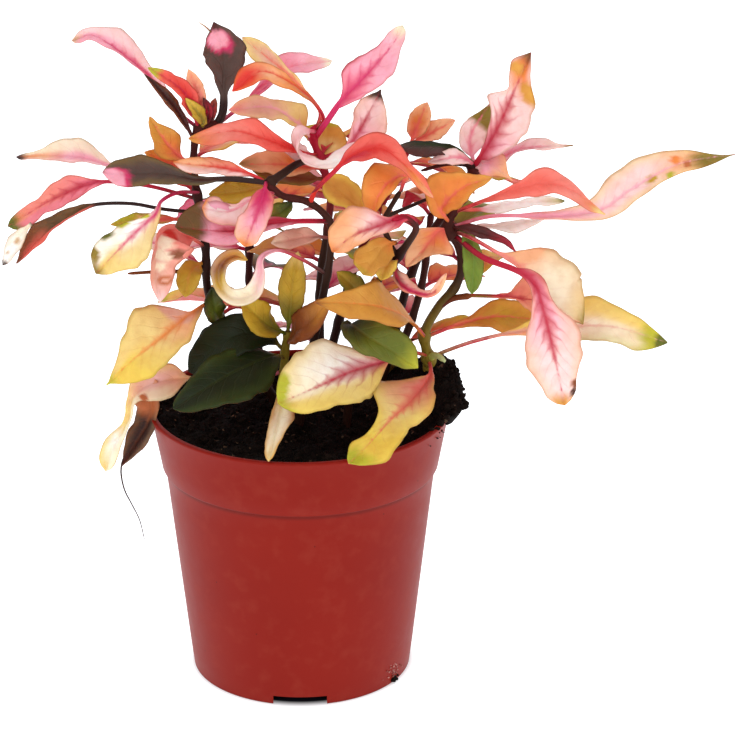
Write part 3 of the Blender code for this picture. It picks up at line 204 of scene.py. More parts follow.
SHOOTS = {
    "shoot_left": {
        "stems": """
1.6 0.9 | -6 -14 6, -12 -3 5, -20 8 4, -27 22 2, -28 36 0, -30 49 -2, -31.5 60 -3, -30 71 -3, -24 72 -1 |
dark_brown dark_stalk dark_stalk maroon

0.7 0.45 | -28 30 1, -35 28.7 -3, -43 28.5 -5, -51 28 -7 | dark_brown brown""",
        # The spike beside the tip of the dark spoon-shaped leaf
        "threads": "0.3 0.12 | -26.2 99.5 -2, -28 101.2 -2, -30.2 102.6 -2 | brown tan",
        "leaves": """
9 | -30 71 -3, -36 76 -1, -46 88 3, -60 98.5 8, -67.5 97 10 |
rose rose pink pink, rim pink 0.6, right blush, vein magenta, stalk crimson, tip tan 0.95, veining 0.35 |
facing 0.2 0.5 0.8, petiole 0.2, fold 0.45, blunt 0.8, outline 1.3 1.3 2 2.3 2.9 / 1.9 2.3 5 5.9 2.3

3.5 | -31 67 -3, -36 76 -7, -40 81 -10, -46 87 -11 |
maroon dark_brown dark_brown, rim brown

6 | -30 71 -3, -33 80 -9, -38 85 -13, -45 89 -14 |
crimson red coral, tip lime 0.86, stain 0.2

5.5 | -29 72 -3, -30.5 81 -6, -33 88.5 -8 |
coral salmon peach

4 | -29 71 -3, -29 74 -7, -34 80 -10 |
olive ochre yellow, rim ochre

3 | -28 71 -2, -27 76 -4, -28.5 80 -6 |
maroon crimson maroon

3 | -26 72 -2, -26 76 -1, -25 80 1 |
maroon crimson brown

10 | -31.5 60 -3, -36 63 -6, -41 69 -9, -44.5 74.5 -10 |
coral orange golden golden, tip golden 0.92, stain 0.1, veining 0.3 |
petiole 0.2, blunt 0.5, outline 2.5 4.5 5.5 4.1 2.3 / 2.4 4.2 4 3.1 1.2

6 | -31.5 57 -3, -37 60 -6, -46 64 -9 |
coral orange golden, stain 0.15, veining 0.3

9 | -31.5 60 -3, -43 57 1, -54 59.3 4, -65 62.8 7, -75 63.2 8, -84 62.5 9 |
pink pink pink peach orange, rim blush 0.6, right cream, vein rose, stalk crimson, tip dark_brown 0.92,
stain 0, veining 0.25 |
facing 0 0.7 0.7, petiole 0.42, blunt 0.7, outline 1.6 2.7 2.8 2.7 2.7 / 1.9 5.2 6.1 4 1.9

9 | -30 50 -2, -45 54 -3, -58.5 55.2 -4, -67 53 -6, -76 48.7 -8, -86.5 42 -10 |
magenta rose salmon salmon golden, rim salmon, left rose, vein crimson, stalk crimson, tip green 0.9, stain
0.45, veining 0.25 |
facing 0 0.35 0.95, petiole 0.44, blunt 0.6, outline 1.8 3.2 4.4 3.7 4.3 / 1.4 4.2 4 2.6 2.3

8 | -29.5 46 -2, -40 47 -5, -50 48.7 -8, -60 48.5 -11, -66 46.5 -13, -75 41 -15, -84 31 -17 |
dark_brown bronze bronze coral coral, rim maroon 0.6, left coral, right bronze, stalk dark_stalk, root
dark_stalk, tip brown 0.92, stain 0, veining 0.2 |
facing -0.5 0.5 0.75, petiole 0.5, fold 0.6, blunt 0.4, outline 2.4 4.2 4.2 3.7 2.6 / 1.5 3.2 4 4.2 2.5

5 | -79.5 42.8 -16, -82.5 40 -17.5, -85.5 36 -18, -88 30.5 -18 |
cream white white, rim tan 0.5, tip dark_brown 0.9, spot tan 0.4 -0.2 0.9, spot tan 0.7 0.2 0.6, stain 0,
veining 0.15 |
petiole 0.05, blunt 0.5, outline 1.6 2.6 2.8 2.6 1.9 / 1.4 2 1.9 1.6 1.2

14 | -30 52 -3, -36 52 -11, -41 49.5 -16, -43 45.5 -19, -50 39 -22, -60.5 28 -25 |
magenta pink white straw yellow, rim yellow 0.5, right white, left straw, stalk crimson, tip olive 0.94,
veining 0.3, spot lime 0.3 0.95 1.6, spot lime 0.5 1 1.8, spot green 0.68 1 1.8, spot olive 0.88 0.9 2.2 |
facing 0.1 0.15 1, petiole 0.32, blunt 0.4, outline 1 4 7.6 8.2 4.8 / 0.8 2 4.5 5.7 6

5 | -29 44 -1, -42 44 -6, -56 42.5 -10 |
coral peach lime, tip lime 0.6 |
petiole 0.3

15 | -28.3 36 0, -32 38.5 -7, -37 41 -11, -41 40 -14, -42.5 32 -16, -41.5 19.5 -16 |
red salmon salmon dusty dusty blush, rim salmon 0.5, vein salmon, stalk coral, spot cream 0.46 -0.12 2.2,
spot cream 0.58 -0.12 2, spot cream 0.68 -0.1 1.5, spot brown 0.53 -0.74 1.5, spot rust 0.8 -0.45 1.7, spot
dusty 0.8 -0.45 1, spot red 0.3 -0.2 2.6, stain 0, veining 0.15 |
facing 0 0.3 0.9, petiole 0.2, fold 0.4, blunt 0.3, wave 1.6, waves 2.1, outline 8 12.5 10.5 6.5 4.5 / 1.5
1.5 1.3 1.8 2.2

7.5 | -28.5 31.5 1, -32.4 28.6 -5, -34 21 -8 |
golden ochre ochre, stain 0.1, veining 0.3 |
fold 0.2

7 | -21 11 4, -25 17 -2, -26 24 -4 |
green green dark_green, stain 0, veining 0.2

20 | -26 20 2, -29.5 18 -5, -34 15 -10, -41 9.3 -16, -49 3 -20, -57.3 -5 -23 |
brown peach straw yellow yellow, rim yellow 0.5, right straw, vein orange, stalk maroon, tip lime 0.93, spot
dusty 0.25 0.6 4, stain 0.2, veining 0.25 |
facing -0.1 0.25 1, fold 0.15, outline 3.1 6.5 7.2 8.5 6 / 0.6 8.5 11.4 7.7 3.1

13 | -25 71.5 -1, -22.8 76 0, -22.5 84 1, -22.5 93 1, -25.5 102.5 -2 |
bark, vein dark_brown, stalk dark_stalk, root dark_stalk, tip maroon 0.93, spot magenta 0.74 -0.05 4.1, spot
pink 0.77 -0.05 3.3, stain 0, veining 0.04 |
facing 0 0 1, petiole 0.22, fold 0.35, blunt 0.15, stalk 1.3, outline 1.9 3.4 5.8 6 4 / 1.8 4.5 6.3 6.9 4.3

9 | -24.5 72 -1, -17 78 6, -10 84 12, -3 89.5 16, 9.5 91 19 |
magenta magenta rose pink blush, rim pink 0.6, vein rose, tip cream 0.93, veining 0.3 |
facing 0 0.6 0.75, petiole 0.25, blunt 0.7, outline 1.2 2.5 4.5 4.4 2.3 / 1.2 2 3.5 4.4 3.7""",
        "pairs": {
            "shares": (0.36, 0.5, 0.62, 0.74, 0.84),
            "length": 36, "width": 12, "seed": 14, "turn": 0.9, "backward": REAR_ONLY,
            "looks": [
                "coral peach yellow, stalk crimson",
                "rose blush blush, rim cream, vein magenta, stalk crimson",
                "olive green green, rim lime, stalk maroon",
                "coral orange golden, vein red, stalk crimson",
            ],
        },
    },
    "shoot_middle_left": {
        "stems": """
1.6 0.9 | 0 -14 -4, 3 2 -5, 7 22 -6, 9 34 -8, 9 43 -10, 3 49 -12, -5 51 -14, -10 55 -16 | dark_brown
dark_stalk dark_brown maroon

1.3 0.9 | -9.5 54.6 -16, -5 57.6 -12, -0.5 60.6 -6, 4 62 1 | dark_brown dark_stalk maroon""",
        "leaves": """
10 | -10 55 -16, -20 56 -17, -30 56 -17, -40 58 -18, -50 58 -19, -58.5 58 -21 |
dark_brown bark bark bark, rim olive 0.35, stalk dark_stalk, root dark_stalk, spot magenta 0.88 -0.62 4.2,
spot pink 0.91 -0.6 3.4, stain 0, veining 0.12 |
facing 0 0.3 0.95, petiole 0.25, wave 0.5, blunt 0.5, stalk 0.9, outline 1.7 2.9 4.4 4.4 5.1 / 0.9 1.3 3.2
5.2 4.1

14 | 9 43.5 -10, 0 43.5 -16, -8 43 -21, -20 41 -25, -37 42 -27 |
crimson crimson rose pink bronze, rim pink 0.5, left pink, root dark_stalk, tip bronze 0.78, stain 0.45,
veining 0.4 |
facing 0 0.5 0.85, petiole 0.2, blunt 0.5, stalk 0.9, outline 2.2 3 4 6 4.2 / 1.7 3 6 8.5 8

11 | -7 52.5 -15, -14 50 -19, -21 46.5 -22, -29 47.5 -23 |
rose blush blush blush, rim salmon 0.6, stalk crimson, tip orange 0.94, stain 0.2, veining 0.35 |
facing 0 0.6 0.8, blunt 0.7, fold 0.1, wave 0.5, outline 1 2.5 6 6 4.8 / 1 1.3 1.5 4 5

9 | -10 55 -16, -11 50.5 -24, -13 45 -29, -16.5 36 -32 |
crimson magenta pink peach, rim peach 0.4, vein magenta, tip orange 0.93, stain 0.6, veining 0.4 |
facing 0 0.2 1, blunt 0.7, outline 2.6 3.7 4.2 3.9 3.5 / 2.2 3.4 3.5 4.7 4.3

8 | -9 54 -16, -14 53 -14, -20 52 -14, -27 51.5 -13 |
golden ochre ochre ochre, stain 0, veining 0.3

7 | -10 55 -16, -15 57.5 -15, -23 59.5 -15, -37.5 61 -15 |
crimson salmon peach peach, rim orange 0.6, left blush, vein red, tip orange 0.95, stain 0.4, veining 0.25 |
facing 0 0.5 0.85, blunt 0.3, outline 1.7 2.8 3.5 4 3.4 / 1 1.8 3 3.1 1.8

11 | 3 49 -12, 5 53 -16, 10 58 -19, 16 63.5 -21, 24 65.5 -23, 32 59.5 -25, 39.5 50.5 -26 |
crimson crimson red coral orange peach, rim coral 0.6, left coral, vein red, stain 0.25, veining 0.2 |
facing 0.3 0.6 0.75, petiole 0.32, blunt 0.4, stalk 0.8, outline 2.5 4.4 5 2.7 2 / 2.8 5.6 5.7 4.2 3.3

6 | 7.5 28 -7, 1 32 -14, -6 34.8 -18, -11.3 32.8 -21, -12 27.3 -22, -13.6 22.8 -22.5, -16.8 20.8 -23, -20.7
21.4 -23, -23.4 24.3 -23, -24 28.5 -22.5, -22.4 31.8 -22, -19 33.4 -21, -15.6 32 -19 |
rose pink pink blush cream cream ochre brown golden yellow, rim cream 0.3, vein blush, under olive, stalk
crimson, stain 0, veining 0.15 |
petiole 0.28, fold 0.5, wave 0.3, blunt 0.6, facing 0 0.35 0.94, outline 0.8 1.2 2.4 3.2 3 2.5 2.6 2.2 / 0.8
1.2 2.2 3 2.6 2.2 2.4 2.2

7 | 9 38.5 -9, 2 39 -12, -8.5 37 -13 |
maroon dusty dusty cream, rim dusty, vein salmon, stain 0, veining 0.3 |
petiole 0.15, wave 1.2, blunt 0.4, outline 1.5 3 3.8 3.4 2.2 / 1.5 3 3.6 3.3 2.2

5.5 | -2 50.5 -13, -4 47.5 -14, -9.5 44.5 -15 |
dark_green green olive, rim green, stain 0, veining 0.2""",
    },
    "shoot_middle_top": {
        "stems": """
1.6 0.9 | 6 -14 8, 6 5 8, 6 25 7, 8 40 6, 9 52 5, 6 62 4, 4 68 3, 5 72 3 | dark_stalk dark_stalk dark_brown
crimson""",
        "leaves": """
10 | 5.5 63 4, 0 64 -4, -10 68 -10, -20 70.5 -13, -33 68 -14 |
crimson red coral salmon orange, rim coral 0.5, vein red, tip golden 0.95, stain 0.25, veining 0.2 |
facing 0 0.5 0.85, petiole 0.15, blunt 0.4, outline 1.6 3.7 3.7 5 5.4 / 2 2.5 4.6 3.2 2.3

11 | 4 68 3, -1 73 2, -9 77.5 1, -21 76.5 -1 |
golden straw dusty dusty salmon, rim straw 0.4, vein pink, stain 0.1, veining 0.25 |
blunt 0.3, outline 1.8 2.6 5.5 4.5 3 / 5.5 3.9 3 3.8 2.7

8 | 4.5 70 3, 7 74 0, 3 80 -3, -4 85.5 -5, -12 88 -7, -20 82 -9 |
crimson rust orange peach red red, rim orange 0.5, vein red, stain 0.2, veining 0.2 |
facing 0.2 0.6 0.75, petiole 0.22, blunt 0.3, outline 1.2 3.7 4.3 4 3.4 / 1.3 1.5 2 2.5 3.6

9 | 4.5 70 3, 6 76 5, 1 82 6, -5 88.5 5, -17 98 2 |
coral peach dusty straw, stalk crimson, stain 0.2, veining 0.2 |
facing 0.2 0.4 0.9, petiole 0.2, blunt 0.4, outline 1.5 3 5 5.4 4.6 / 1 1.3 1.5 3.3 2.9

12 | 4.5 68 3, 8 73 -2, 13 80 -5, 20 87.5 -7, 27 95.5 -7, 30.5 101.5 -4 |
magenta rose pink pink blush, rim pink 0.5, root crimson, tip cream 0.92, stain 0.65, veining 0.35, hem
crimson |
facing -0.2 0.2 1, petiole 0.3, blunt 0.7, stalk 1, outline 1.6 5.8 5.3 3.7 3 / 3 4.7 5.9 6.7 3.3

12 | 6 62 4, 11 64 2, 15 66.5 1, 19 72.5 0, 24 82.5 0 |
rose pink blush blush, rim peach 0.4, vein crimson, stalk crimson, tip bronze 0.86, spot dark_brown 0.97
-0.2 2, stain 0.45, veining 0.35 |
facing 0.2 0 1, petiole 0.22, outline 1 2.4 3.5 4.9 3.8 / 1.2 3 6.7 6.1 3.3

10 | 5 70 3, 1 70 -5, -0.5 65 -10, 2.5 60.8 -13, 7.5 60.2 -14, 12.5 62 -13, 17.5 67 -11 |
rose pink blush white pink, rim blush 0.6, under blush, stain 0, veining 0.1 |
edge 0 -0.6 0.8, petiole 0.1, fold 0.1, wave 0.3, blunt 0.5, outline 3 5.9 3.4 2.5 6 / 2.5 0.5 1 1.8 3.5

13 | 6 62 4, 8 66 9, 8 73 11.5 |
golden straw golden golden, tip lime 0.88, stain 0, veining 0.3 |
fold 0.2, blunt 0.8, outline 2.5 4.5 6 7 7 / 3 5 6 5.3 4

9 | 7 59 4, -4 60.5 -1, -18 60.5 -6 |
coral orange peach olive, rim peach, stain 0.1, veining 0.25

7 | 8 56 5, -1 56.5 2, -14 58.5 -1 |
brown brown olive, stain 0, veining 0.2

6 | 7 60 4, 1 63 -1, -6 65.5 -4 |
rose blush blush""",
        "pairs": {
            "shares": (0.4, 0.52, 0.64, 0.76, 0.88),
            "length": 36, "width": 12, "seed": 11, "turn": 0.9, "backward": REAR_ONLY,
            "looks": [
                "rose blush cream, rim blush, vein magenta, stalk crimson",
                "coral orange golden, vein crimson, stalk crimson",
                "olive ochre yellow, rim lime, vein coral, stalk maroon",
            ],
        },
    },
    "shoot_middle": {
        "stems": """
1.5 0.7 | 14 -14 -6, 16 2 -9, 19 16 -12, 24 27 -14, 28 32.5 -15, 26.5 37.5 -15, 25 43.5 -14, 29.8 52.5 -12 |
dark_stalk dark_brown dark_brown

1.3 0.7 | 26 29.5 -14.5, 29 33 -15, 32 37 -18, 34.4 41.5 -21, 31.5 44.6 -24, 27.5 43.8 -26.5 | dark_stalk
dark_stalk dark_brown maroon crimson

0.6 0.45 | 25.6 45 -13.5, 32 47.6 -8, 38.5 50.3 -2, 44 51.5 0 | dark_brown dark_stalk maroon""",
        "leaves": """
10 | 30 52.5 -12, 31 57 -16, 27.5 56 -20, 24 52.5 -22, 21 45 -22 |
coral orange orange orange, rim golden 0.6, stalk crimson, stain 0.15, veining 0.25 |
facing -0.1 0.3 1, petiole 0.15, blunt 0.4, outline 1 2 3.1 2.5 1.8 / 2.5 5.3 7 5.5 4

10 | 25 43.5 -14, 21 45 -10, 15 50 -5, 7.5 56 -3 |
orange golden golden golden, rim yellow, vein golden, stalk crimson, stain 0, veining 0.2 |
facing 0 0.3 1, petiole 0.2, blunt 0.6, outline 1.5 2.5 3.5 5.2 4.7 / 1.5 3 4.5 5 4.5

11 | 29 34 -15, 32 37 -18, 34.5 41.5 -21, 31.5 44.7 -24, 24 42.5 -28, 16 39.5 -31, 9.5 34.5 -33 |
crimson magenta blush peach peach, rim orange 0.4, stalk dark_stalk, root dark_stalk, tip orange 0.96, stain
0.85 |
facing 0 0.3 1, petiole 0.34, blunt 0.6, stalk 1, outline 1.4 3.5 3.1 3.4 3.5 / 1 1.6 6.2 7.8 6

4 | 29 33.5 -15, 28.5 28 -20, 32 23.5 -24, 39 22 -27, 43.5 28 -28 |
dark_stalk maroon magenta magenta peach peach, rim peach 0.6, left dusty, vein crimson, under dusty, root
dark_stalk, stain 0.2, veining 0.2 |
facing 0.2 0.4 0.9, wave 0.4, blunt 0.6, outline 2.4 2.8 1.8 1.3 1.2 / 1.3 1.6 1.3 1.2 1.2

11 | 28.5 37 -15, 25 36 -18, 18.7 27.6 -21 |
orange golden golden golden, rim golden 0.8, vein golden, tip ochre 0.9, stain 0, veining 0.2 |
facing 0 0.3 1, fold 0.15, blunt 0.7, outline 4 4 4.7 3 2.9 / 3 4 5 6 5

7 | 27 31.5 -14.5, 26 32 -18, 24 26 -20 |
golden golden ochre, rim yellow

7 | 20 19 -12, 17 23 -14, 11 28.5 -15 |
olive olive ochre, rim green, stain 0

12 | 17.2 9 -10.5, 15 13 -18, 20 9.5 -25, 27 5.5 -28, 35 0 -29 |
dark_green dark_green green green lime, rim green 0.6, vein olive, stalk olive, stain 0, veining 0.3 |
facing 0 0.4 0.95, petiole 0.15, fold 0.2, blunt 0.3, outline 3 5 6.5 6.3 5.7 / 3 5 5.6 4.5 3.6""",
        "pairs": {
            "shares": (0.5, 0.68, 0.86),
            "length": 30, "width": 11, "seed": 19, "turn": 0.9, "backward": REAR_ONLY,
            "looks": [
                "coral orange golden, vein crimson, stalk crimson",
                "olive green green, rim lime, stalk maroon",
            ],
        },
    },
    "shoot_right": {
        "stems": """
1.7 1 | 38 -3 7, 38.5 2 5, 37 10 3, 41 18 1, 46 24 0, 48 30 -1, 47 36 -2, 44 42 -3, 46 47 -3, 50 51 -3 |
olive olive dark_brown maroon

1.1 0.8 | 41 18 1, 45 20.5 0, 51 21.5 -2 | maroon brown

1.1 0.8 | 38.2 3 4.5, 40.5 3.8 1, 43 2 -2 | lime pale_green""",
        "leaves": """
17 | 37.3 9 3, 32 15 -11, 26 18 -20.5, 20 19 -25, 12 19.5 -28, 4.5 19.5 -30 |
orange golden golden golden golden, stalk crimson, tip brown 0.97, stain 0.1, veining 0.3 |
facing 0 0.5 0.87, petiole 0.14, fold 0.2, blunt 0.2, outline 2.5 4 7.4 6 5.9 / 5 9 9.9 6 3.3

22 | 38.2 3.5 4.5, 33 4.5 -4, 26 2.2 -13, 15 -1 -22, 5 -5.5 -30, -6.5 -10.5 -37 |
coral blush white cream straw, rim yellow 0.5, left yellow, vein crimson, stalk crimson, root olive, tip
lime 0.93, spot lime 0.93 0.7 3, stain 0.55, veining 0.4 |
facing 0 0.2 1, petiole 0.27, fold 0.18, blunt 0.5, outline 0.8 5.5 9.3 10 8.6 7.4 6.2 / 1.4 2.8 6.5 11.5
12.2 11 8.6

21 | 38.3 2.5 5, 38.6 -2 -6, 34 -8 -18, 27.5 -14.3 -29, 22 -20.5 -38, 14.5 -28.3 -47 |
brown salmon straw yellow yellow, rim yellow 0.6, vein coral, stalk crimson, root olive, tip lime 0.9,
veining 0.3 |
facing -0.1 0.4 0.9, wave 1.6, waves 1.9, blunt 0.6, outline 2.2 4.5 8.3 7.6 7.2 8.6 9 / 1.5 6.5 12 9.6 3.4
2.8 4

6 | 45 40.5 -3, 49 40 -6, 51.5 32 -8, 51 22 -9 |
green leaf_green leaf_green, stain 0, veining 0.3 |
blunt 0.5, outline 1.8 2.6 3 3 2.4 / 1.8 2.9 3.4 3.2 2.3

13 | 44.5 41 -3, 41 40.5 -6, 36.5 35 -8, 31.5 30 -9 |
coral orange peach peach, veining 0.2 |
facing 0.1 0.3 1, blunt 0.4, outline 6.3 7.9 4.1 2.1 1.5 / 1.8 5 4.9 4.3 2.8

12 | 44.2 41.5 -3, 57 45 -4, 75 45 -5, 89 47 -6, 98 53 -7, 112 60.5 -8, 129 63.3 -9 |
rose pink blush blush peach golden, rim straw 0.55, vein pink, root crimson, tip olive 0.83, spot ochre 0.64
0.25 1.6, spot orange 0.76 -0.3 1.3, spot lime 0.72 0.75 1.6, spot rust 0.8 0.3 1.4, stain 0.15, veining 0.3
|
facing -0.1 0.35 0.95, petiole 0.2, fold 0.2, outline 1.3 1.8 3 6 7.4 6.6 4.2 1.4 / 1 1.3 2.5 4.1 4.2 3.8
3.5 2.7

12 | 50 21.5 -1.5, 57 21.3 -4, 64 21 -6, 73 20 -7 |
red salmon peach, vein crimson, stalk olive, root olive, stain 0.4, veining 0.2 |
facing 0 0.5 0.87, petiole 0.3, blunt 0.3, outline 1 2 6 7.5 3.5 / 0.8 1 1.7 3.7 5

9 | 45.5 46 -3, 53 49 -7, 62 52.5 -10, 73 55 -12, 82 52 -14, 90.5 45.5 -15 |
coral coral coral salmon orange, rim salmon 0.5, stalk crimson, tip straw 0.92, veining 0.25 |
facing 0.2 0.45 0.88, petiole 0.18, fold 0.2, blunt 0.2, outline 1 1.8 4.3 2.9 0.9 / 2.3 3.7 4.3 3.1 3.7

5 | 46 47 -3, 53 47 0, 65 49 3, 78.5 49.5 5 |
rose white white white lime, rim white, stalk coral, tip green 0.95, stain 0, veining 0.15 |
facing 0 0.6 0.8, petiole 0.2, blunt 0.6, outline 1 1.1 1.5 1.8 1.6 / 2.6 3 3.3 2.4 1.7

5 | 45 40.5 -3, 53 42 1, 62 42.5 4, 73 44.5 6 |
blush white white, stalk rose, stain 0, veining 0.15 |
facing 0 0.5 0.85, petiole 0.2, blunt 0.3, outline 1 1 1 0.8 0.6 / 1.2 2 3.9 3.1 2

3.5 | 45 41 -3, 49 41.5 -9, 60 38 -13, 64 34.5 -14 |
maroon maroon crimson, rim maroon, stain 0

13 | 45 40.8 -3, 51 38.5 -10, 58 34.5 -14, 64.5 31 -16, 71 25.5 -18, 76 18.5 -19, 84 13 -20 |
rose peach cream cream straw, rim golden 0.45, right salmon, vein salmon, stalk crimson, tip olive 0.95,
spot peach 0.3 -0.8 3, stain 0.2, veining 0.2 |
facing 0.2 0.35 0.9, petiole 0.3, fold 0.2, blunt 0.3, outline 1.8 8.5 11.5 11.8 9.5 / 0.8 0.9 1 1.2 1.5

17 | 45 40 -3, 54 33 -13, 64 29 -21, 69.5 25 -25, 72 18 -27, 75 6 -28, 78.5 -11 -28 |
crimson pink blush blush, rim peach 0.55, tip golden 0.94, spot brown 0.87 -0.95 1.7, spot dark_brown 0.92
-0.85 1.3, stain 0.75 |
facing 0 0.1 1, petiole 0.34, fold 0.2, blunt 0.6, stalk 0.9, outline 3 3.5 8.3 8.2 5.3 / 1.5 3.2 7 8.6 6

15 | 38.6 3 4.5, 44 5.3 2, 52 8 0, 63 10.5 -2, 78 12.3 -4, 93 12.3 -6, 109 7.5 -8 |
coral peach cream cream straw, rim lime 0.4, left yellow, vein dusty, stalk crimson, root olive, tip lime
0.86, spot green 0.97 0 2.5, stain 0.1, veining 0.25 |
facing 0 0.35 0.95, petiole 0.26, fold 0.15, wave 1.2, blunt 0.3, outline 1 3.5 8 9.5 6.4 3.6 / 1 2 4.5 5.4
5.5 5.6

12 | 37.1 9 3, 46 12.5 5, 58 15.5 7, 71 14.5 9 |
coral golden ochre golden, stalk crimson, root olive, stain 0.1, veining 0.3 |
facing 0 0.45 0.9, petiole 0.18, blunt 0.4, outline 1.2 2.4 4.8 5 4.5 / 1.5 3.2 5.6 7 5.5

13 | 44.3 43 -3, 42 47.5 -9, 48 53.5 -13, 57 56.5 -14 |
orange orange orange golden, rim golden 0.6, vein coral, stain 0.15, veining 0.3 |
facing -0.1 0.3 1, blunt 0.4, outline 3.2 8.3 7.6 4.7 2.3 / 2.2 3.5 5 4.6 2.5""",
        "pairs": {
            "shares": (0.5, 0.65, 0.8),
            "length": 32, "width": 12, "seed": 33, "turn": 0.9, "backward": REAR_ONLY,
            "looks": [
                "coral orange yellow, vein crimson, stalk crimson, tip lime 0.9",
                "rose blush cream, vein magenta, stalk crimson",
                "olive green lime, stalk maroon",
            ],
        },
    },
    "shoot_right_top": {
        "stems": """
1.6 1 | 24 -14 16, 27 5 17, 32 25 16, 39 40 14, 47 51 11, 52 60 8 | dark_stalk dark_stalk maroon

0.7 0.5 | 52 60 8, 44 60.5 4, 36 58.5 1 | dark_stalk maroon""",
        "leaves": """
16 | 51.5 59.5 8, 54.5 64 4, 58.5 71 1, 63 81 -2, 68.5 93.5 -4 |
rose pink blush blush orange rust, rim blush 0.5, vein crimson, stalk crimson, tip bronze 0.94, spot golden
0.72 0.85 2.6, spot golden 0.85 -0.5 2, stain 0.75, veining 0.35 |
facing -0.1 0.05 1, petiole 0.08, wave 1.4, waves 2.2, blunt 0.3, stalk 0.9, outline 1.2 1.6 2.3 4 6.8 2.1 3
4.2 / 3 5.5 7.5 8.8 8.6 8 4 2

9 | 52 60 8, 50.5 65 9, 51 70 10, 56.5 78.5 11 |
pink blush blush olive, rim blush 0.4, vein rose, tip olive 0.6, stain 0.2, veining 0.25 |
facing -0.2 0 1, blunt 0.2, outline 2.5 3.3 3.6 2.4 1 / 4 5 5 4.5 3

5 | 52 59.5 8, 57 60.5 8, 66 65 8, 81 66 8 |
rose pink blush cream, rim blush, tip olive 0.92, stain 0.2, veining 0.25 |
facing 0 0.6 0.8, blunt 0.2, outline 1.5 2.3 2.7 2.6 1 / 2.4 1.6 1.1 1.1 1

10 | 51.5 59 8, 56.5 60.5 4, 63 55.5 2 |
blush pink peach peach, rim orange 0.3, vein pink, stain 0, veining 0.2 |
blunt 0.2, outline 2 4 4.5 3 1 / 3 5 4.5 2.5 0.8

5 | 52 60 8, 47 62.5 3, 38 61 0 |
rose blush blush

8 | 52 60 8, 46.5 64.5 6, 38 66.5 4, 29.5 66 2 |
green dark_green dark_green bark, rim dark_green, left maroon, stain 0, veining 0.15 |
facing 0 0.5 0.85, blunt 0.4, outline 1 2.9 5.1 6.3 5.2 / 1 0.8 1.3 1.5 1.1""",
        "pairs": {
            "shares": (0.38, 0.52, 0.66, 0.8, 0.93),
            "length": 34, "width": 12, "seed": 18, "turn": 0.5, "backward": REAR_ONLY,
            "looks": [
                "rose blush peach, vein crimson, stalk crimson, tip olive 0.85",
                "coral golden yellow, rim lime, stalk crimson",
            ],
        },
    },
    "shoot_low": {
        "stems": """
1.4 1 | -5 -13 0, -5 -4 -2, -4.5 4 -4, -3.5 11 -7 | olive olive""",
        # The dried vein that hangs from the withered leaf
        "threads": """
0.28 0.1 | -52.5 -27 -12, -53 -31 -12, -52 -36 -12, -50 -40 -12, -47.5 -45 -12, -46 -51 -12 |
dark_brown dark_stalk""",
        # The second leaf, dark green at the rear-left rim, is drawn wide and longer than the imported leaf,
        # so that it also fills the shade beside it: a real leaf with painted shade
        "leaves": """
20 | -4.5 3 -4, -9 3.5 -12, -20 -1 -21, -30 -7 -27, -37.5 -12 -30 |
dark_green, rim leaf_green 0.12, vein green, stalk olive, stain 0, veining 0.12 |
facing -0.1 0.6 0.8, petiole 0.1, fold 0.15, blunt 0.5, outline 5.5 11 12.5 11.2 7.2 / 5 7 7.5 7 4.5

14 | -4.5 5 -4, -10 9.5 -8, -20 9.5 -9.5, -33 -1 -8 |
dark_green, stalk olive, stain 0, veining 0.1 |
facing 0 0.45 0.9, petiole 0.08, fold 0.15, blunt 0.5, outline 3 6.5 7.5 7 5 / 3 6 7 7 5

10 | -3.6 10 -6.5, -8.5 12.2 -11, -13 16 -14, -17.5 20.5 -15 |
green olive ochre ochre, stain 0, veining 0.2 |
blunt 0.3, outline 2.8 4.6 5.4 5 3.4 / 2.6 4.2 5 4.6 3.2

8.5 | -3.6 10.5 -7, -2.8 17 -9, -2 26 -9, -0.5 34.5 -9 |
green olive ochre ochre straw, rim olive 0.5, vein olive, stain 0, veining 0.2

10 | -4 7 -5, -1 11 -12, 3 14 -15, 9 20.5 -16 |
brown brown golden, rim brown, stain 0, veining 0.2

9 | -5 -3 -2, -4 -5 -14, -5 -9 -24, -6.5 -16 -32, -9.3 -27.6 -45 |
coral straw cream cream straw, rim golden 0.8, vein straw, stain 0, veining 0.3 |
facing -0.3 0.5 0.85, fold 0.5, petiole 0.3, blunt 0.6, outline 2 4 6.1 5 2.9 / 2 2.5 2.5 2.6 2.4

12 | -5 -1 -2, -16 -4 -8, -30 -3 -10, -40 -3.4 -10.5, -47 -6 -11, -50 -10.1 -11.5, -50.5 -14 -12, -52.4
-18.4 -12, -55.3 -23.1 -12, -56.8 -27 -12, -57.5 -30.5 -12 |
peach dusty blush dusty straw straw white cream straw, rim yellow 0.6, left cream, vein tan, stalk tan, root
rose, spot rust 0.36 -0.8 1.6, stain 0, veining 0.1 |
facing -0.3 0.4 0.87, petiole 0.4, wave 1, blunt 0.85, outline 6 7.5 5.5 2.4 1.9 2.2 3.1 3.2 / 4.5 4.5 4 2
1.8 2.2 3.2 3.2

8 | -42.5 -3.6 -10, -44 -8 -10.5, -44.2 -12.5 -11, -45.4 -16.6 -11, -47.7 -20.5 -11, -50 -24.3 -11.5, -52.7
-29 -12 |
rust rust rust dark_stalk dark_stalk dark_stalk dark_stalk maroon, rim tan 0.25, stalk dusty, root peach,
stain 0, veining 0.15 |
facing -0.1 0.3 0.95, petiole 0.03, fold 0.2, blunt 0.2, outline 2.4 2.6 2.8 3.2 3 1.8 / 4.6 4.6 4.2 3.8 3.2
1.8""",
    },
    "shoot_back_left": {
        "stems": """
1.6 0.9 | -9 -14 20, -12 4 25, -15 26 30, -14 50 32 | dark_brown dark_stalk maroon""",
        "leaves": "",
        "pairs": {
            "shares": (0.34, 0.48, 0.62, 0.76, 0.88, 0.99),
            "length": 38, "width": 13, "seed": 8, "turn": 1.3,
            "looks": [
                "rose blush cream, vein magenta, stalk crimson",
                "coral peach yellow, stalk crimson, tip lime 0.9",
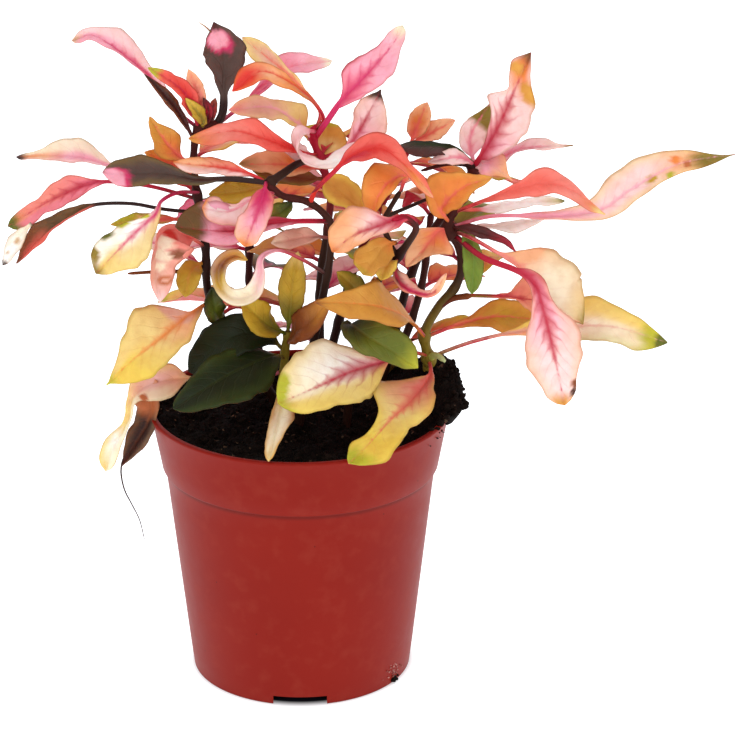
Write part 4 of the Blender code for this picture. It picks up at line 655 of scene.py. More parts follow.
                "maroon dark_green green, rim olive, vein magenta",
                "coral orange golden, vein crimson, stalk crimson",
            ],
        },
    },
    "shoot_back_middle": {
        "stems": """
1.6 0.9 | 7 -14 26, 10 8 31, 17 32 32, 27 54 27, 33 66.5 19 | dark_brown dark_stalk crimson""",
        "leaves": """
7 | 33 66.5 19, 34.5 71 17, 37.8 78.7 15 |
coral orange peach |
facing 0 0.2 1

6 | 33 66.5 19, 39.5 70 17, 46 73.5 16 |
coral peach peach |
facing 0 0.3 1""",
        "pairs": {
            "shares": (0.3, 0.42, 0.54, 0.66, 0.78, 0.89),
            "length": 38, "width": 13, "seed": 7, "turn": 0.9,
            "looks": [
                "coral orange golden, vein crimson, stalk crimson",
                "rose blush blush, rim peach, vein crimson, stalk crimson, tip olive 0.86",
                "coral peach yellow, rim lime, stalk crimson",
            ],
        },
    },
    "shoot_back_right": {
        "stems": """
1.6 0.9 | 23 -14 22, 29 4 28, 36 24 32, 39 46 33 | olive dark_brown maroon""",
        "leaves": "",
        "pairs": {
            "shares": (0.34, 0.48, 0.62, 0.76, 0.88, 0.99),
            "length": 38, "width": 13, "seed": 7, "turn": 0.5,
            "looks": [
                "olive golden yellow, rim lime, vein coral, stalk maroon",
                "rose blush cream, rim blush, vein magenta, stalk crimson",
                "coral orange peach, rim golden, vein crimson, stalk crimson, tip brown 0.92",
            ],
        },
    },
}


def place(across, up, depth):
    """The point seen at (across, up) from the front, at the given depth behind the pot's axis."""
    near = (up * SIN_PITCH - depth) / (COS_PITCH + up * SIN_PITCH / EYE_DISTANCE)
    shrink = 1 - near / EYE_DISTANCE
    x = AIM_ACROSS + (across - AIM_ACROSS) * shrink
    z = AIM_HEIGHT + up * shrink * COS_PITCH + near * SIN_PITCH
    return np.array([x, depth, z])


def toward(across, up, near):
    """The unit direction that points across, up and toward the viewer by these amounts."""
    direction = np.array([across, up * SIN_PITCH - near * COS_PITCH, up * COS_PITCH + near * SIN_PITCH])
    return direction / np.linalg.norm(direction)


def blend(values, share):
    """The value at a share of the way along a smooth curve through evenly spaced values."""
    position = share * (len(values) - 1)
    index = min(int(position), len(values) - 2)
    t = position - index
    b = values[index]
    c = values[index + 1]
    a = values[index - 1] if index > 0 else 2 * b - c
    d = values[index + 2] if index + 2 < len(values) else 2 * c - b
    bend = (a - 2.5 * b + 2 * c - d / 2) * t**2 + (1.5 * (b - c) + (d - a) / 2) * t**3
    return b + (c - a) * t / 2 + bend


def smooth(points, count):
    """Evenly spaced points along a smooth curve through the given ones."""
    points = np.array(points, float)
    shares = np.linspace(0, 1, CURVE_DETAIL * len(points))
    dense = np.array([blend(points, share) for share in shares])
    run = np.append(0, np.cumsum(np.linalg.norm(np.diff(dense, axis=0), axis=1)))
    wanted = np.linspace(0, run[-1], count)
    return np.column_stack([np.interp(wanted, run, dense[:, axis]) for axis in range(3)])


def length_of(points):
    return np.linalg.norm(np.diff(np.array(points, float), axis=0), axis=1).sum()


def unit(vectors):
    """The vector, or each row of several, at length one."""
    return vectors / np.linalg.norm(vectors, axis=-1, keepdims=True)


def ease(start, end, value):
    """A smooth step from 0 at start to 1 at end."""
    share = np.clip((value - start) / (end - start), 0, 1)
    return share * share * (3 - 2 * share)


def linear(colour):
    """The linear RGB values of an sRGB hex colour."""
    channels = np.array([int(colour[at : at + 2], 16) for at in (1, 3, 5)]) / 255
    return np.where(channels <= 0.04045, channels / 12.92, ((channels + 0.055) / 1.055) ** 2.4)


def named(word):
    return linear(COLOURS[word])


def gradient(words, shares):
    """The colour at each share of the way through evenly spaced colour words."""
    stops = np.array([named(word) for word in words])
    places = np.linspace(0, 1, len(words))
    return np.stack([np.interp(shares, places, stops[:, channel]) for channel in range(3)], -1)


def mix(first, second, share):
    return first + (second - first) * np.asarray(share)[..., None]


def add(tree, kind, inputs=None, **settings):
    """Adds a node with its settings and links.

    Each input takes a value, a socket, or a node, which stands for its first live output.
    """
    node = tree.nodes.new(kind)
    for name, value in settings.items():
        setattr(node, name, value)
    for name, value in (inputs or {}).items():
        if isinstance(value, bpy.types.Node):
            value = next(socket for socket in value.outputs if socket.enabled)
        if isinstance(value, bpy.types.NodeSocket):
            tree.links.new(value, node.inputs[name])
        else:
            node.inputs[name].default_value = value
    return node


def new_material(name, **constants):
    """A material with its Principled shader's constants set, as (material, tree, shader)."""
    material = bpy.data.materials.new(name)
    material.use_nodes = True
    tree = material.node_tree
    shader = tree.nodes["Principled BSDF"]
    for socket, value in constants.items():
        shader.inputs[socket.replace("_", " ")].default_value = value
    return material, tree, shader


def shade(word_or_hex):
    """A node colour value from a colour word or an sRGB hex colour."""
    rgb = linear(COLOURS.get(word_or_hex, word_or_hex))
    return (*rgb, 1)


def finish(tree, shader, inputs):
    """Links nodes to the shader's inputs."""
    for name, node in inputs.items():
        output = next(socket for socket in node.outputs if socket.enabled)
        tree.links.new(output, shader.inputs[name])


def add_solid(name, points, faces, materials, smooth_faces=True):
    mesh = bpy.data.meshes.new(name)
    mesh.from_pydata((np.asarray(points) * MM).tolist(), [], faces)
    for material in materials:
        mesh.materials.append(material)
    if smooth_faces:
        mesh.shade_smooth()
    solid = bpy.data.objects.new(name, mesh)
    bpy.context.scene.collection.objects.link(solid)
    return solid


def as_piece(solid, slot, *nodes):
    """Makes a solid ride with the plant, and hides the CAD nodes that it stands for. Its slot is not used.
    """
    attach(solid, "root")
    if nodes:
        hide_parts(*nodes)


# Materials


def living_leaf(name, roughness, gloss):
    """A living leaf: a thin waxy skin over soft flesh, so that light sinks in and glows a little.

    Its colours are in the mesh. The material adds what the eye finds close up: the stain that
    feathers out from the midrib along the side veins, the sunk veins, cloudy paler and deeper
    patches, and a browner margin.
    """
    material, tree, shader = new_material(
        name,
        Roughness=roughness,
        Subsurface_Weight=0.14,
        Subsurface_Radius=(1.0, 0.45, 0.3),
        Subsurface_Scale=0.0012,
        Specular_IOR_Level=gloss,
    )
    tint = add(tree, "ShaderNodeAttribute", attribute_name="tint")
    vein = add(tree, "ShaderNodeAttribute", attribute_name="vein")
    lie = add(tree, "ShaderNodeAttribute", attribute_name="lie")
    inks = add(tree, "ShaderNodeAttribute", attribute_name="inks")
    turns, side, off_midrib = add(tree, "ShaderNodeSeparateXYZ", {0: lie}).outputs
    stain_edge, veining, ribbing = add(tree, "ShaderNodeSeparateXYZ", {0: inks}).outputs
    place_on = add(tree, "ShaderNodeTexCoord").outputs["Object"]
    broad, cloudy, patchy, fine = (
        add(tree, "ShaderNodeTexNoise", {"Vector": place_on, "Scale": 1 / (size * MM), "Detail": detail})
        for size, detail in LEAF_CLOUDS)
    # The gap is 0 on a side vein and 0.5 halfway to the next
    phase = add(tree, "ShaderNodeMath", {0: broad, 1: 1.2, 2: turns}, operation="MULTIPLY_ADD")
    gap = add(tree, "ShaderNodeMath", {0: phase, 1: 0.5}, operation="PINGPONG")
    drawn = add(tree, "ShaderNodeMapRange", {0: gap, 1: 0.1, 2: 0.015})
    inner = add(tree, "ShaderNodeMapRange", {0: side, 1: 1.0, 2: 0.4})
    side_vein = add(tree, "ShaderNodeMath", {0: drawn, 1: inner}, operation="MULTIPLY")
    midrib = add(tree, "ShaderNodeMapRange", {0: off_midrib, 1: 0.65, 2: 0.2})
    feather = add(tree, "ShaderNodeMapRange", {0: gap, 1: 0.0, 2: 0.4, 3: 0.45, 4: 1.0})
    reach = add(tree, "ShaderNodeMath", {0: feather, 1: off_midrib}, operation="MULTIPLY")
    reach = add(tree, "ShaderNodeMath", {0: fine, 1: reach}, operation="ADD")
    stain = add(tree, "ShaderNodeMapRange", {0: reach, 1: stain_edge, 2: 0.2})
    stained = add(tree, "ShaderNodeMath", {0: stain, 1: vein.outputs["Alpha"]}, operation="MULTIPLY")

    pale = add(tree, "ShaderNodeMapRange", {0: cloudy, 1: 0.48, 2: 0.75, 4: 0.3})
    deep = add(tree, "ShaderNodeMapRange", {0: patchy, 1: 0.42, 2: 0.72, 4: 0.4})
    veined = add(tree, "ShaderNodeMath", {0: side_vein, 1: veining}, operation="MULTIPLY")
    ribbed = add(tree, "ShaderNodeMath", {0: midrib, 1: ribbing}, operation="MULTIPLY")
    margin = add(tree, "ShaderNodeMapRange", {0: side, 1: 0.86, 2: 1.0, 4: 0.6})
    colour = tint
    for share, over, kind in (
        (pale, LEAF_PALE, "SOFT_LIGHT"),
        (deep, LEAF_DEEP, "MULTIPLY"),
        (veined, vein, "MIX"),
        (stained, vein, "MIX"),
        (ribbed, vein, "MIX"),
        (margin, LEAF_MARGIN, "MULTIPLY"),
    ):
        layers = {0: share, 6: colour, 7: over}
        colour = add(tree, "ShaderNodeMix", layers, data_type="RGBA", blend_type=kind)

    cells = add(tree, "ShaderNodeTexVoronoi", {"Vector": place_on, "Scale": 1 / (0.55 * MM)})
    relief = add(tree, "ShaderNodeMath", {0: cells, 1: 0.3}, operation="MULTIPLY")
    for height, amount in ((patchy, 1.2), (side_vein, -0.6), (midrib, -1.2)):
        layers = {0: height, 1: amount, 2: relief}
        relief = add(tree, "ShaderNodeMath", layers, operation="MULTIPLY_ADD")
    bump = add(tree, "ShaderNodeBump", {"Height": relief, "Distance": 0.18 * MM, "Strength": 0.6})
    finish(tree, shader, {"Base Color": colour, "Normal": bump})
    return material


def living_stem():
    """A soft herbaceous stem: satin skin with fine streaks along it, darker than its leaves."""
    material, tree, shader = new_material(
        "herbaceous stem",
        Roughness=0.5,
        Subsurface_Weight=0.08,
        Subsurface_Radius=(1.0, 0.4, 0.25),
        Subsurface_Scale=0.001,
        Specular_IOR_Level=0.1,
    )
    tint = add(tree, "ShaderNodeAttribute", attribute_name="tint")
    place_on = add(tree, "ShaderNodeTexCoord").outputs["Object"]
    # Streaks about 0.35 mm wide and 4 mm long
    drawn = add(tree, "ShaderNodeMapping", {"Vector": place_on, "Scale": (2800, 2800, 250)})
    streak = add(tree, "ShaderNodeTexNoise", {"Vector": drawn, "Scale": 1, "Detail": 3})
    dark = add(tree, "ShaderNodeMapRange", {0: streak, 1: 0.35, 2: 0.7, 4: 0.4})
    layers = {0: dark, 6: tint, 7: shade("#C2AEA2")}
    colour = add(tree, "ShaderNodeMix", layers, data_type="RGBA", blend_type="MULTIPLY")
    bump = add(tree, "ShaderNodeBump", {"Height": streak, "Distance": 0.12 * MM, "Strength": 0.5})
    finish(tree, shader, {"Base Color": colour, "Normal": bump})
    return material


def moulded_plastic():
    """Injection-moulded polypropylene: a satin red-brown skin that pales where dust clings.

    A few dark specks of soil stay on it, and its gloss breaks up where it is scuffed. A shadow
    line under the band and shade on the inner wall, up to just below the rim, are painted into it.
    """
    material, tree, shader = new_material("moulded polypropylene", Specular_IOR_Level=0.1)
    place_on = add(tree, "ShaderNodeTexCoord").outputs["Object"]
    # Colour clouds of 28 mm, grime of 5 mm, specks up to 0.5 mm and an orange peel of 1.6 mm
    cloud, grime, peel = (
        add(tree, "ShaderNodeTexNoise", {"Vector": place_on, "Scale": 1 / (size * MM), "Detail": detail})
        for size, detail in ((28, 4), (5, 8), (1.6, 2)))
    speck = add(tree, "ShaderNodeTexVoronoi", {"Vector": place_on, "Scale": 1 / (8 * MM)})
    height = add(tree, "ShaderNodeSeparateXYZ", {0: place_on}).outputs["Z"]
    level = add(tree, "ShaderNodeVectorMath", {0: place_on, 1: (1, 1, 0)}, operation="MULTIPLY")
    away = add(tree, "ShaderNodeVectorMath", {0: level}, operation="LENGTH")
    dust = add(tree, "ShaderNodeMapRange", {0: grime, 1: 0.5, 2: 0.8, 4: 0.22})
    dot = add(tree, "ShaderNodeMapRange", {0: speck, 1: 0.034, 2: 0.024, 4: 0.8})
    # Painted shadow: a dark line under the band, and the inner wall near black up to just below the rim
    low = add(tree, "ShaderNodeMath", {0: height, 1: UNDER_BAND * MM}, operation="SUBTRACT")
    low = add(tree, "ShaderNodeMath", {0: low}, operation="ABSOLUTE")
    line = add(tree, "ShaderNodeMapRange", {0: low, 1: 1.1 * MM, 2: 0.2 * MM, 4: 0.5})
    lean = (RIM_INNER_RADIUS - BAND_BOTTOM_RADIUS + WALL) / (POT_HEIGHT - BAND_BOTTOM)
    start = BAND_BOTTOM_RADIUS - WALL - lean * BAND_BOTTOM
    outward = add(tree, "ShaderNodeMath", {0: height, 1: -lean, 2: away}, operation="MULTIPLY_ADD")
    wall = add(tree, "ShaderNodeMapRange", {0: outward, 1: (start + 0.6) * MM, 2: (start + 0.4) * MM})
    banded = add(tree, "ShaderNodeMapRange", {0: height, 1: 66 * MM, 2: 67 * MM})
    wall = add(tree, "ShaderNodeMath", {0: wall, 1: banded}, operation="MULTIPLY")
    # Painted shade: the inner wall goes near black up to a ragged edge just below the rim
    ragged = add(tree, "ShaderNodeMath", {0: grime, 1: 3.5 * MM, 2: height}, operation="MULTIPLY_ADD")
    heights = {1: (INNER_SHADE_TO + 0.8) * MM, 2: INNER_SHADE_TO * MM}
    inner_wall_shade = add(tree, "ShaderNodeMapRange", {0: ragged, **heights, 4: 0.93})
    inner_wall_shade = add(tree, "ShaderNodeMath", {0: inner_wall_shade, 1: wall}, operation="MULTIPLY")
    colour = add(
        tree, "ShaderNodeMix", {0: cloud, 6: shade("#7B1207"), 7: shade("#871A0C")}, data_type="RGBA"
    )
    # Dust and specks of soil, then the painted shadow line under the band and the painted shade inside
    layers = ((dust, "#994030"), (dot, "#3A100C"), (line, "#4E0F0A"), (inner_wall_shade, "#140D09"))
    for share, over in layers:
        colour = add(tree, "ShaderNodeMix", {0: share, 6: colour, 7: shade(over)}, data_type="RGBA")
    scuffed = add(tree, "ShaderNodeMapRange", {0: grime, 3: 0.36, 4: 0.54})
    bump = add(tree, "ShaderNodeBump", {"Height": peel, "Distance": 0.05 * MM, "Strength": 0.35})
    finish(tree, shader, {"Base Color": colour, "Roughness": scuffed, "Normal": bump})
    return material


def crumbly(name, dark, light, pale_share):
    """Peat and bark, damp or dried: matt, with lumps of a second tone and a few paler grains."""
    material, tree, shader = new_material(name, Roughness=0.95, Specular_IOR_Level=0.08)
    place_on = add(tree, "ShaderNodeTexCoord").outputs["Object"]
    # Lumps of 2.4 mm and grains of 0.9 mm
    lumps = add(tree, "ShaderNodeTexNoise", {"Vector": place_on, "Scale": 1 / (2.4 * MM), "Detail": 8})
    grain = add(tree, "ShaderNodeTexVoronoi", {"Vector": place_on, "Scale": 1 / (0.9 * MM)})
    spread = add(tree, "ShaderNodeMapRange", {0: lumps, 1: 0.35, 2: 0.7})
    drawn = add(tree, "ShaderNodeSeparateColor", {0: grain.outputs["Color"]})
    pale = add(tree, "ShaderNodeMapRange", {0: drawn, 1: 1 - pale_share, 2: 1.01 - pale_share})
    colour = shade(dark)
    for share, over in ((spread, light), (pale, "#5A4636")):
        colour = add(tree, "ShaderNodeMix", {0: share, 6: colour, 7: shade(over)}, data_type="RGBA")
    bump = add(tree, "ShaderNodeBump", {"Height": grain, "Distance": 0.5 * MM, "Strength": 0.9})
    finish(tree, shader, {"Base Color": colour, "Normal": bump})
    return material


# Leaves and stems


def numbers(words):
    return [float(word) for word in words.split()]


def read_list(paragraphs):
    """What each paragraph of a list says: its sizes, its route, and the phrases after them."""
    entries = []
    for paragraph in filter(None, paragraphs.split("\n\n")):
        sizes, route, *rest = " ".join(paragraph.split()).split(" | ")
        entries.append((numbers(sizes), [numbers(point) for point in route.split(", ")], *rest))
    return entries


def read_shape(sentence=""):
    """A leaf's shape, as settings of leaf below: each is its name and its number or numbers.

    An outline's left side comes before the slash and its right side after it.
    """
    shape = {}
    for phrase in filter(None, sentence.split(", ")):
        word, values = phrase.split(" ", 1)
        if word == "outline":
            shape[word] = [numbers(half) for half in values.split(" / ")]
        else:
            given = numbers(values)
            shape[word] = given if len(given) > 1 else given[0]
    return shape


def read_look(sentence):
    """The look that a sentence gives.

    It starts with the colours of the blade's middle from base to tip. Then come, after commas,
    rim, left, right, hem (of the left edge), vein, stalk, root and under, each with a colour,
    tip with a colour and the share of the length where it starts, spot with a colour, its place
    along and across and its radius, stain with how far the stain from the midrib spreads at its
    base, and veining with the strength of the veins. A rim may have a strength too. A vein or
    stalk that isn't given has the first colour of the middle, and a rim has the last.
    """
    first, *rest = sentence.split(", ")
    look = {"middle": first.split(), "spots": [], "veining": 0.5, "stain": 0.3, "root": "maroon"}
    look["rim_strength"] = 0.85
    for phrase in rest:
        word, *values = phrase.split()
        if word == "rim" and len(values) > 1:
            look["rim_strength"] = float(values[1])
        if word == "spot":
            look["spots"].append((values[0], *map(float, values[1:])))
        elif word == "tip":
            look["tip"] = (values[0], float(values[1]))
        elif word in ("veining", "stain"):
            look[word] = float(values[0])
        else:
            look[word] = values[0]
    look.setdefault("rim", look["middle"][-1])
    look.setdefault("stalk", look["middle"][0])
    look.setdefault("vein", look["middle"][0])
    return look


def ripples(along, across, phase):
    """A soft unevenness between about -1 and 1 over a blade, for the borders of its colours."""
    return (
        0.5 * np.sin(9 * along + 3.1 * across + phase)
        + 0.3 * np.sin(19 * along - 7 * across + 2.1 * phase)
        + 0.2 * np.sin(37 * along + 13 * across + 3.7 * phase)
    )


def blade_colours(look, blade, across, stalk_share, phase):
    """The colour at each point of a leaf's upper side."""
    uneven = ripples(blade, across, phase)
    colours = gradient(look["middle"], np.clip(blade + 0.04 * uneven, 0, 1))
    edge = ease(0.3, 1.05, np.abs(across) + 0.13 * uneven) * ease(0.0, 0.2, blade)
    colours = mix(colours, named(look["rim"]), look["rim_strength"] * edge)
    for hand, side in ((-1, "left"), (1, "right")):
        if side in look:
            reach = ease(0.05, 0.45, hand * across + 0.06 * uneven) * ease(0.02, 0.2, blade)
            colours = mix(colours, named(look[side]), 0.8 * reach)
    if "tip" in look:
        word, start = look["tip"]
        reach = ease(start - 0.05, start + 0.05, blade + 0.025 * uneven)
        colours = mix(colours, named(word), reach)
    if "hem" in look:
        hem = ease(0.8, 0.95, -across + 0.05 * uneven) * ease(0.1, 0.25, blade)
        colours = mix(colours, named(look["hem"]), 0.8 * hem * ease(0.85, 0.7, blade))
    stalk = mix(named(look["root"]), named(look["stalk"]), ease(0.1, 0.75, stalk_share))
    return mix(colours, stalk, 1 - ease(0.0, 0.1, blade))


def blade_shape(blade, widest):
    """An oval blade's width at a share of its length, as a share of its widest width."""
    taper = TIP_TAPER * widest / (1 - widest)
    fullest = widest**taper * (1 - widest) ** TIP_TAPER
    return blade**taper * (1 - blade) ** TIP_TAPER / fullest


def frame_along(route, count, facing, edge):
    """Points along a leaf, and at each the directions across it and up from it, as rows to spread."""
    centres = smooth(route, count)
    tangents = unit(np.gradient(centres, axis=0))
    if edge:
        aimed = toward(*edge)
        sides = unit(aimed - tangents * (tangents @ aimed)[:, None])
    else:
        sides = unit(np.cross(tangents, toward(*facing)))
    return centres[:, None, :], sides[:, None, :], np.cross(sides, tangents)[:, None, :]


def drawn_widths(outline, blunt, blade, ragged, least):
    """The half widths of a blade's left and of its right side, where an outline gives them."""
    end = np.sqrt(1 - (np.maximum(0, blade - ROUNDED_END) / (1 - ROUNDED_END)) ** 2)
    both = []
    for widths in outline:
        stops = (0, *widths, blunt * widths[-1])
        drawn = np.array([blend(stops, share) for share in blade[:, 0]])[:, None]
        both.append(np.maximum(least, drawn * ragged * end))
    return both


def thicknesses(blade, side, out, broad):
    """How thick a leaf is above its middle and below it.

    Its round stalk thins out into the blade, with the midrib sunk above and raised below.
    """
    round_stalk = STALK_HALF_THICKNESS * np.sqrt(np.clip(1 - side**2, 0, 1)) * (1 - 0.6 * blade)
    round_stalk = round_stalk + EDGE_HALF_THICKNESS
    thin_blade = BLADE_HALF_THICKNESS * (1 - 0.6 * side**2) * (1 - 0.3 * blade)
    plain = round_stalk + (thin_blade - round_stalk) * broad
    rib = np.exp(-((out / RIB_HALF_WIDTH) ** 2)) * broad * (1 - 0.75 * blade)
    return plain - RIB_SUNK_ABOVE * rib, plain + RIB_PROUD_BELOW * rib


def ribbon_faces(count, columns):
    """The faces of a closed strip, whose stations each have an upper and then a lower row."""
    size = 2 * columns
    last = columns - 1
    upper = np.arange(last)
    lower = upper + columns
    ring = np.concatenate([
        np.stack([upper, upper + 1, upper + 1 + size, upper + size], 1),
        np.stack([lower + 1, lower, lower + size, lower + 1 + size], 1),
        [[columns, 0, size, size + columns]],
        [[last, last + columns, size + last + columns, size + last]]])
    faces = [ring + station * size for station in range(count - 1)]
    faces.append(np.stack([upper + 1, upper, lower, lower + 1], 1))
    faces.append(np.stack([upper, upper + 1, lower + 1, lower], 1) + (count - 1) * size)
    return np.concatenate(faces)


def vein_inks(look, blade, across, half):
    """How far out the stain reaches, and how strong the side veins and the midrib are."""
    narrowing = np.clip(1 - blade / 0.8, 0, 1) ** 1.5 * ease(0, 0.06, blade)
    stain = look["stain"] * np.maximum(half, 0.35 * half.max()) * narrowing
    strength = look["veining"] * (1 - 0.55 * ease(0.5, 1, blade))
    rib = strength * (0.9 - 0.5 * blade)
    stain_edge = 1.7 * stain + 0.56 + 0.3 * ease(1, 0.5, blade)
    return np.stack([one + 0 * across for one in (stain_edge, 0.28 * strength, rib)], -1)


def leaf(route, width, look, facing=(0, 0.4, 0.9), petiole=0.12, widest=0.5, fold=0.3, wave=0.8,
         waves=1.4, edge=None, lean=0.0, outline=None, blunt=0.0, stalk=STALK_HALF_WIDTH, phase=0.0):
    """One leaf as a dict of points, faces and what its material reads, from root to tip.

    The upper side looks toward facing. On a curled leaf, edge gives the direction of its
    right-hand edge instead. A positive lean makes its left half the wider one. Where a plain
    oval is not near enough, outline gives the half widths of its left and its right side, from
    base to tip. A blunt blade keeps that share of its last width up to its rounded end, and
    stalk is the half width of its leaf stalk.
    """
    length = length_of(route)
    count = max(LEAST_STATIONS, round(length / LEAF_STEP))
    columns = WIDE_COLUMNS if width > WIDE_FROM else NARROW_COLUMNS
    centres, sides, normals = frame_along(route, count, facing, edge)
    along = np.linspace(0, 1, count)[:, None]
    blade = np.clip((along - petiole) / (1 - petiole), 0, 1)

    # The half widths of its two sides
    least = stalk + (TIP_HALF_WIDTH * 0.5 - stalk) * blade
    shape = np.array([blade_shape(share, widest) for share in blade[:, 0]])[:, None]
    ragged = 1
    for order, (often, depth) in enumerate(TEETH, 1):
        ragged = ragged + depth * np.sin(often * blade + order * phase)
    half = np.maximum(least, width / 2 * shape * ragged)
    flat = np.minimum(1, half / FULL_BLADE_HALF_WIDTH)
    across = np.linspace(-1, 1, columns)[None, :]
    side = np.abs(across)
    hand = np.sign(across)
    reach = half * (1 - hand * lean * flat)
    if outline:
        both = drawn_widths(outline, blunt, blade, ragged, least)
        reach = np.where(hand < 0, *both)
        half = (both[0] + both[1]) / 2
        flat = np.minimum(1, half / FULL_BLADE_HALF_WIDTH)

    # How far it rises: folded and arched halves, waves, a fine frill, and quilting between the veins
    arch = side * (1 + HALVES_ARCH * (1 - side)) * reach - MIDRIB_DROP * half
    rise = arch * math.sin(fold) * flat
    bulge = flat * np.sin(np.pi * blade)
    swing = math.tau * waves * blade + HAND_PHASE * hand + phase
    rise = rise + side**2 * wave * bulge * np.sin(swing)
    frill = math.tau * FRILLS * blade + 2.3 * hand + 1.7 * phase
    rise = rise + FRILL_HEIGHT * side**3 * bulge * np.sin(frill)
    spacing = VEIN_SPACING * min(1, 0.4 + width / 18)
    turns = (along * length - (side + 0.25 * side**2) * half * VEIN_SLOPE) / spacing
    quilting = np.cos(math.tau * (turns + VEIN_STAGGER * hand + 0.6))
    rise = rise - QUILT_HEIGHT * bulge * 4 * side * (1 - side) * quilting
    out = across * reach * math.cos(fold)
    middle = centres + sides * out[..., None] + normals * rise[..., None]
    broad = ease(stalk, stalk + BROADENING, half)
    over, under = thicknesses(blade, side, out, broad)
    top = middle + normals * over[..., None]
    bottom = middle - normals * under[..., None]

    # What its material reads on the upper and the lower side
    stalk_share = along / petiole + 0 * across
    colours = blade_colours(look, blade + 0 * across, across + 0 * half, stalk_share, phase)
    if "under" in look:
        below = mix(colours, named(look["under"]), 0.75 * broad + 0 * side)
    else:
        below = mix(colours, named("rose"), 0.18 * broad + 0 * side) * 0.9
    for word, spot_along, spot_across, radius in look["spots"]:
        gap_along = (blade - spot_along) * length * (1 - petiole)
        gap_across = (across - spot_across) * half
        away = np.hypot(gap_along, gap_across) * (1 + 0.25 * ripples(blade, across, 5 + phase))
        share = ease(radius * 1.15, radius * 0.75, away)
        colours = mix(colours, named(word), share)
    lie = np.stack([turns + VEIN_STAGGER * hand, side + 0 * half, side * reach], -1)
    inks = vein_inks(look, blade, across, half)
    fainter = inks * (0, 0.5, 0.5)
    made = {"faces": ribbon_faces(count, columns), "vein": (*named(look["vein"]), float(look["stain"] > 0))}
    halves = {"points": (top, bottom), "tint": (colours, below), "lie": (lie, lie), "inks": (inks, fainter)}
    for kind, rows in halves.items():
        made[kind] = np.concatenate(rows, axis=1).reshape(-1, 3)
    return made


def stem(route, root_radius, tip_radius, words, joints):
    """A round stem along a route of points in space, thicker at its joints."""
    count = max(6, round(length_of(route) / STEM_STEP))
    centres = smooth(route, count)
    tangents = unit(np.gradient(centres, axis=0))
    side = unit(np.cross(tangents[0], (0.2, 1, 0.1)))
    angles = math.tau * np.arange(STEM_SIDES) / STEM_SIDES
    rings = []
    for station, (centre, tangent) in enumerate(zip(centres, tangents)):
        side = unit(side - tangent * np.dot(side, tangent))
        across = np.cross(tangent, side)
        share = station / (count - 1)
        radius = root_radius + (tip_radius - root_radius) * share
        for joint in joints:
            away = np.linalg.norm(joint - centre)
            radius *= 1 + JOINT_SWELLING * math.exp(-((away / JOINT_LENGTH) ** 2))
        if station in (0, count - 1):
            radius *= STEM_ENDS
        ridged = radius * (1 + RIDGE_DEPTH * np.sin(RIDGES * angles + 7 * share))
        ring = side * np.cos(angles)[:, None] + across * np.sin(angles)[:, None]
        rings.append(centre + ring * ridged[:, None])
    corner = np.arange(STEM_SIDES)
    after = (corner + 1) % STEM_SIDES
    ring = np.stack([corner, after, after + STEM_SIDES, corner + STEM_SIDES], 1)
    faces = [tuple(face) for station in range(count - 1) for face in ring + station * STEM_SIDES]
    faces.append(tuple(reversed(range(STEM_SIDES))))
    faces.append(tuple(range((count - 1) * STEM_SIDES, count * STEM_SIDES)))
    shares = np.repeat(np.linspace(0, 1, count), STEM_SIDES)
    return {"points": np.concatenate(rings), "faces": faces, "tint": gradient(words.split(), shares)}


def gather(name, shapes, material, slot, node):
    """Makes one piece of several leaves or stems, with what their material reads on it."""
    points = []
    faces = []
    start = 0
    for shape in shapes:
        points.append(shape["points"])
        faces += [tuple(int(corner) + start for corner in face) for face in shape["faces"]]
        start += len(shape["points"])
    solid = add_solid(name, np.concatenate(points), faces, [material])
    mesh = solid.data

    def store(attribute, kind, rows, field):
        layer = mesh.attributes.new(attribute, kind, "POINT")
        layer.data.foreach_set(field, np.concatenate(rows).astype(np.float32).ravel())

    def opaque(colours):
        return np.column_stack([colours, np.ones(len(colours))])

    store("tint", "FLOAT_COLOR", [opaque(shape["tint"]) for shape in shapes], "color")
    if "lie" in shapes[0]:
        sizes = [len(shape["points"]) for shape in shapes]
        veins = [np.tile(shape["vein"], (size, 1)) for shape, size in zip(shapes, sizes)]
        store("vein", "FLOAT_COLOR", veins, "color")
        store("lie", "FLOAT_VECTOR", [shape["lie"] for shape in shapes], "vector")
        store("inks", "FLOAT_VECTOR", [shape["inks"] for shape in shapes], "vector")
    as_piece(solid, slot, node)


def soil_height(x, y):
    """The height of the soil over the base, with the mound at the right and small lumps."""
    away = ((x - MOUND_X) ** 2 + (y - MOUND_Y) ** 2) / (2 * MOUND_SPREAD**2)
    lumps = 0.7 * math.sin(0.31 * x + 1) * math.cos(0.27 * y)
    lumps += 0.45 * math.sin(0.62 * x - 0.5 * y)
    return SOIL_LEVEL + MOUND_HEIGHT * math.exp(-away) + lumps


def planted(points):
    """A stem's points in space, with a straight stretch down into the soil before them."""
    x, y, _ = points[0]
    top = soil_height(x, y)
    foot = top - STEM_DEPTH
    below = [np.array([x, y, z]) for z in (foot, (2 * foot + top) / 3, (foot + 2 * top) / 3)]
    return below + [np.array([x, y, top + 1.5])] + points[1:]


def pairs(points, shares, length, width, seed, turn, backward=ALL_BUT_FRONT):
    """Opposite pairs of leaves up a stem, each pair turned a quarter from the last."""
    draw = random.Random(seed)
    line = smooth(points, PAIR_STATIONS)
    found = []
    for order, share in enumerate(shares):
        base = line[round(share * (PAIR_STATIONS - 1))]
        for hand in (0, math.pi):
            angle = turn + hand + order * math.pi / 2 + draw.uniform(-0.35, 0.35)
            reach = length * draw.uniform(0.8, 1.1) * (1.1 - 0.35 * share)
            lift = draw.uniform(0.25, 0.6)
            droop = draw.uniform(0.35, 0.75)
            outward = np.array([math.cos(angle), math.sin(angle), 0])
            if outward[1] < backward:
                continue
            route = []
            for step in (0, 0.25, 0.5, 0.75, 1):
                rise = reach * (lift * step - droop * step**2)
                route.append(base + outward * reach * step * 0.92 + np.array([0, 0, rise]))
            found.append((route, width * draw.uniform(0.85, 1.1)))
    return found


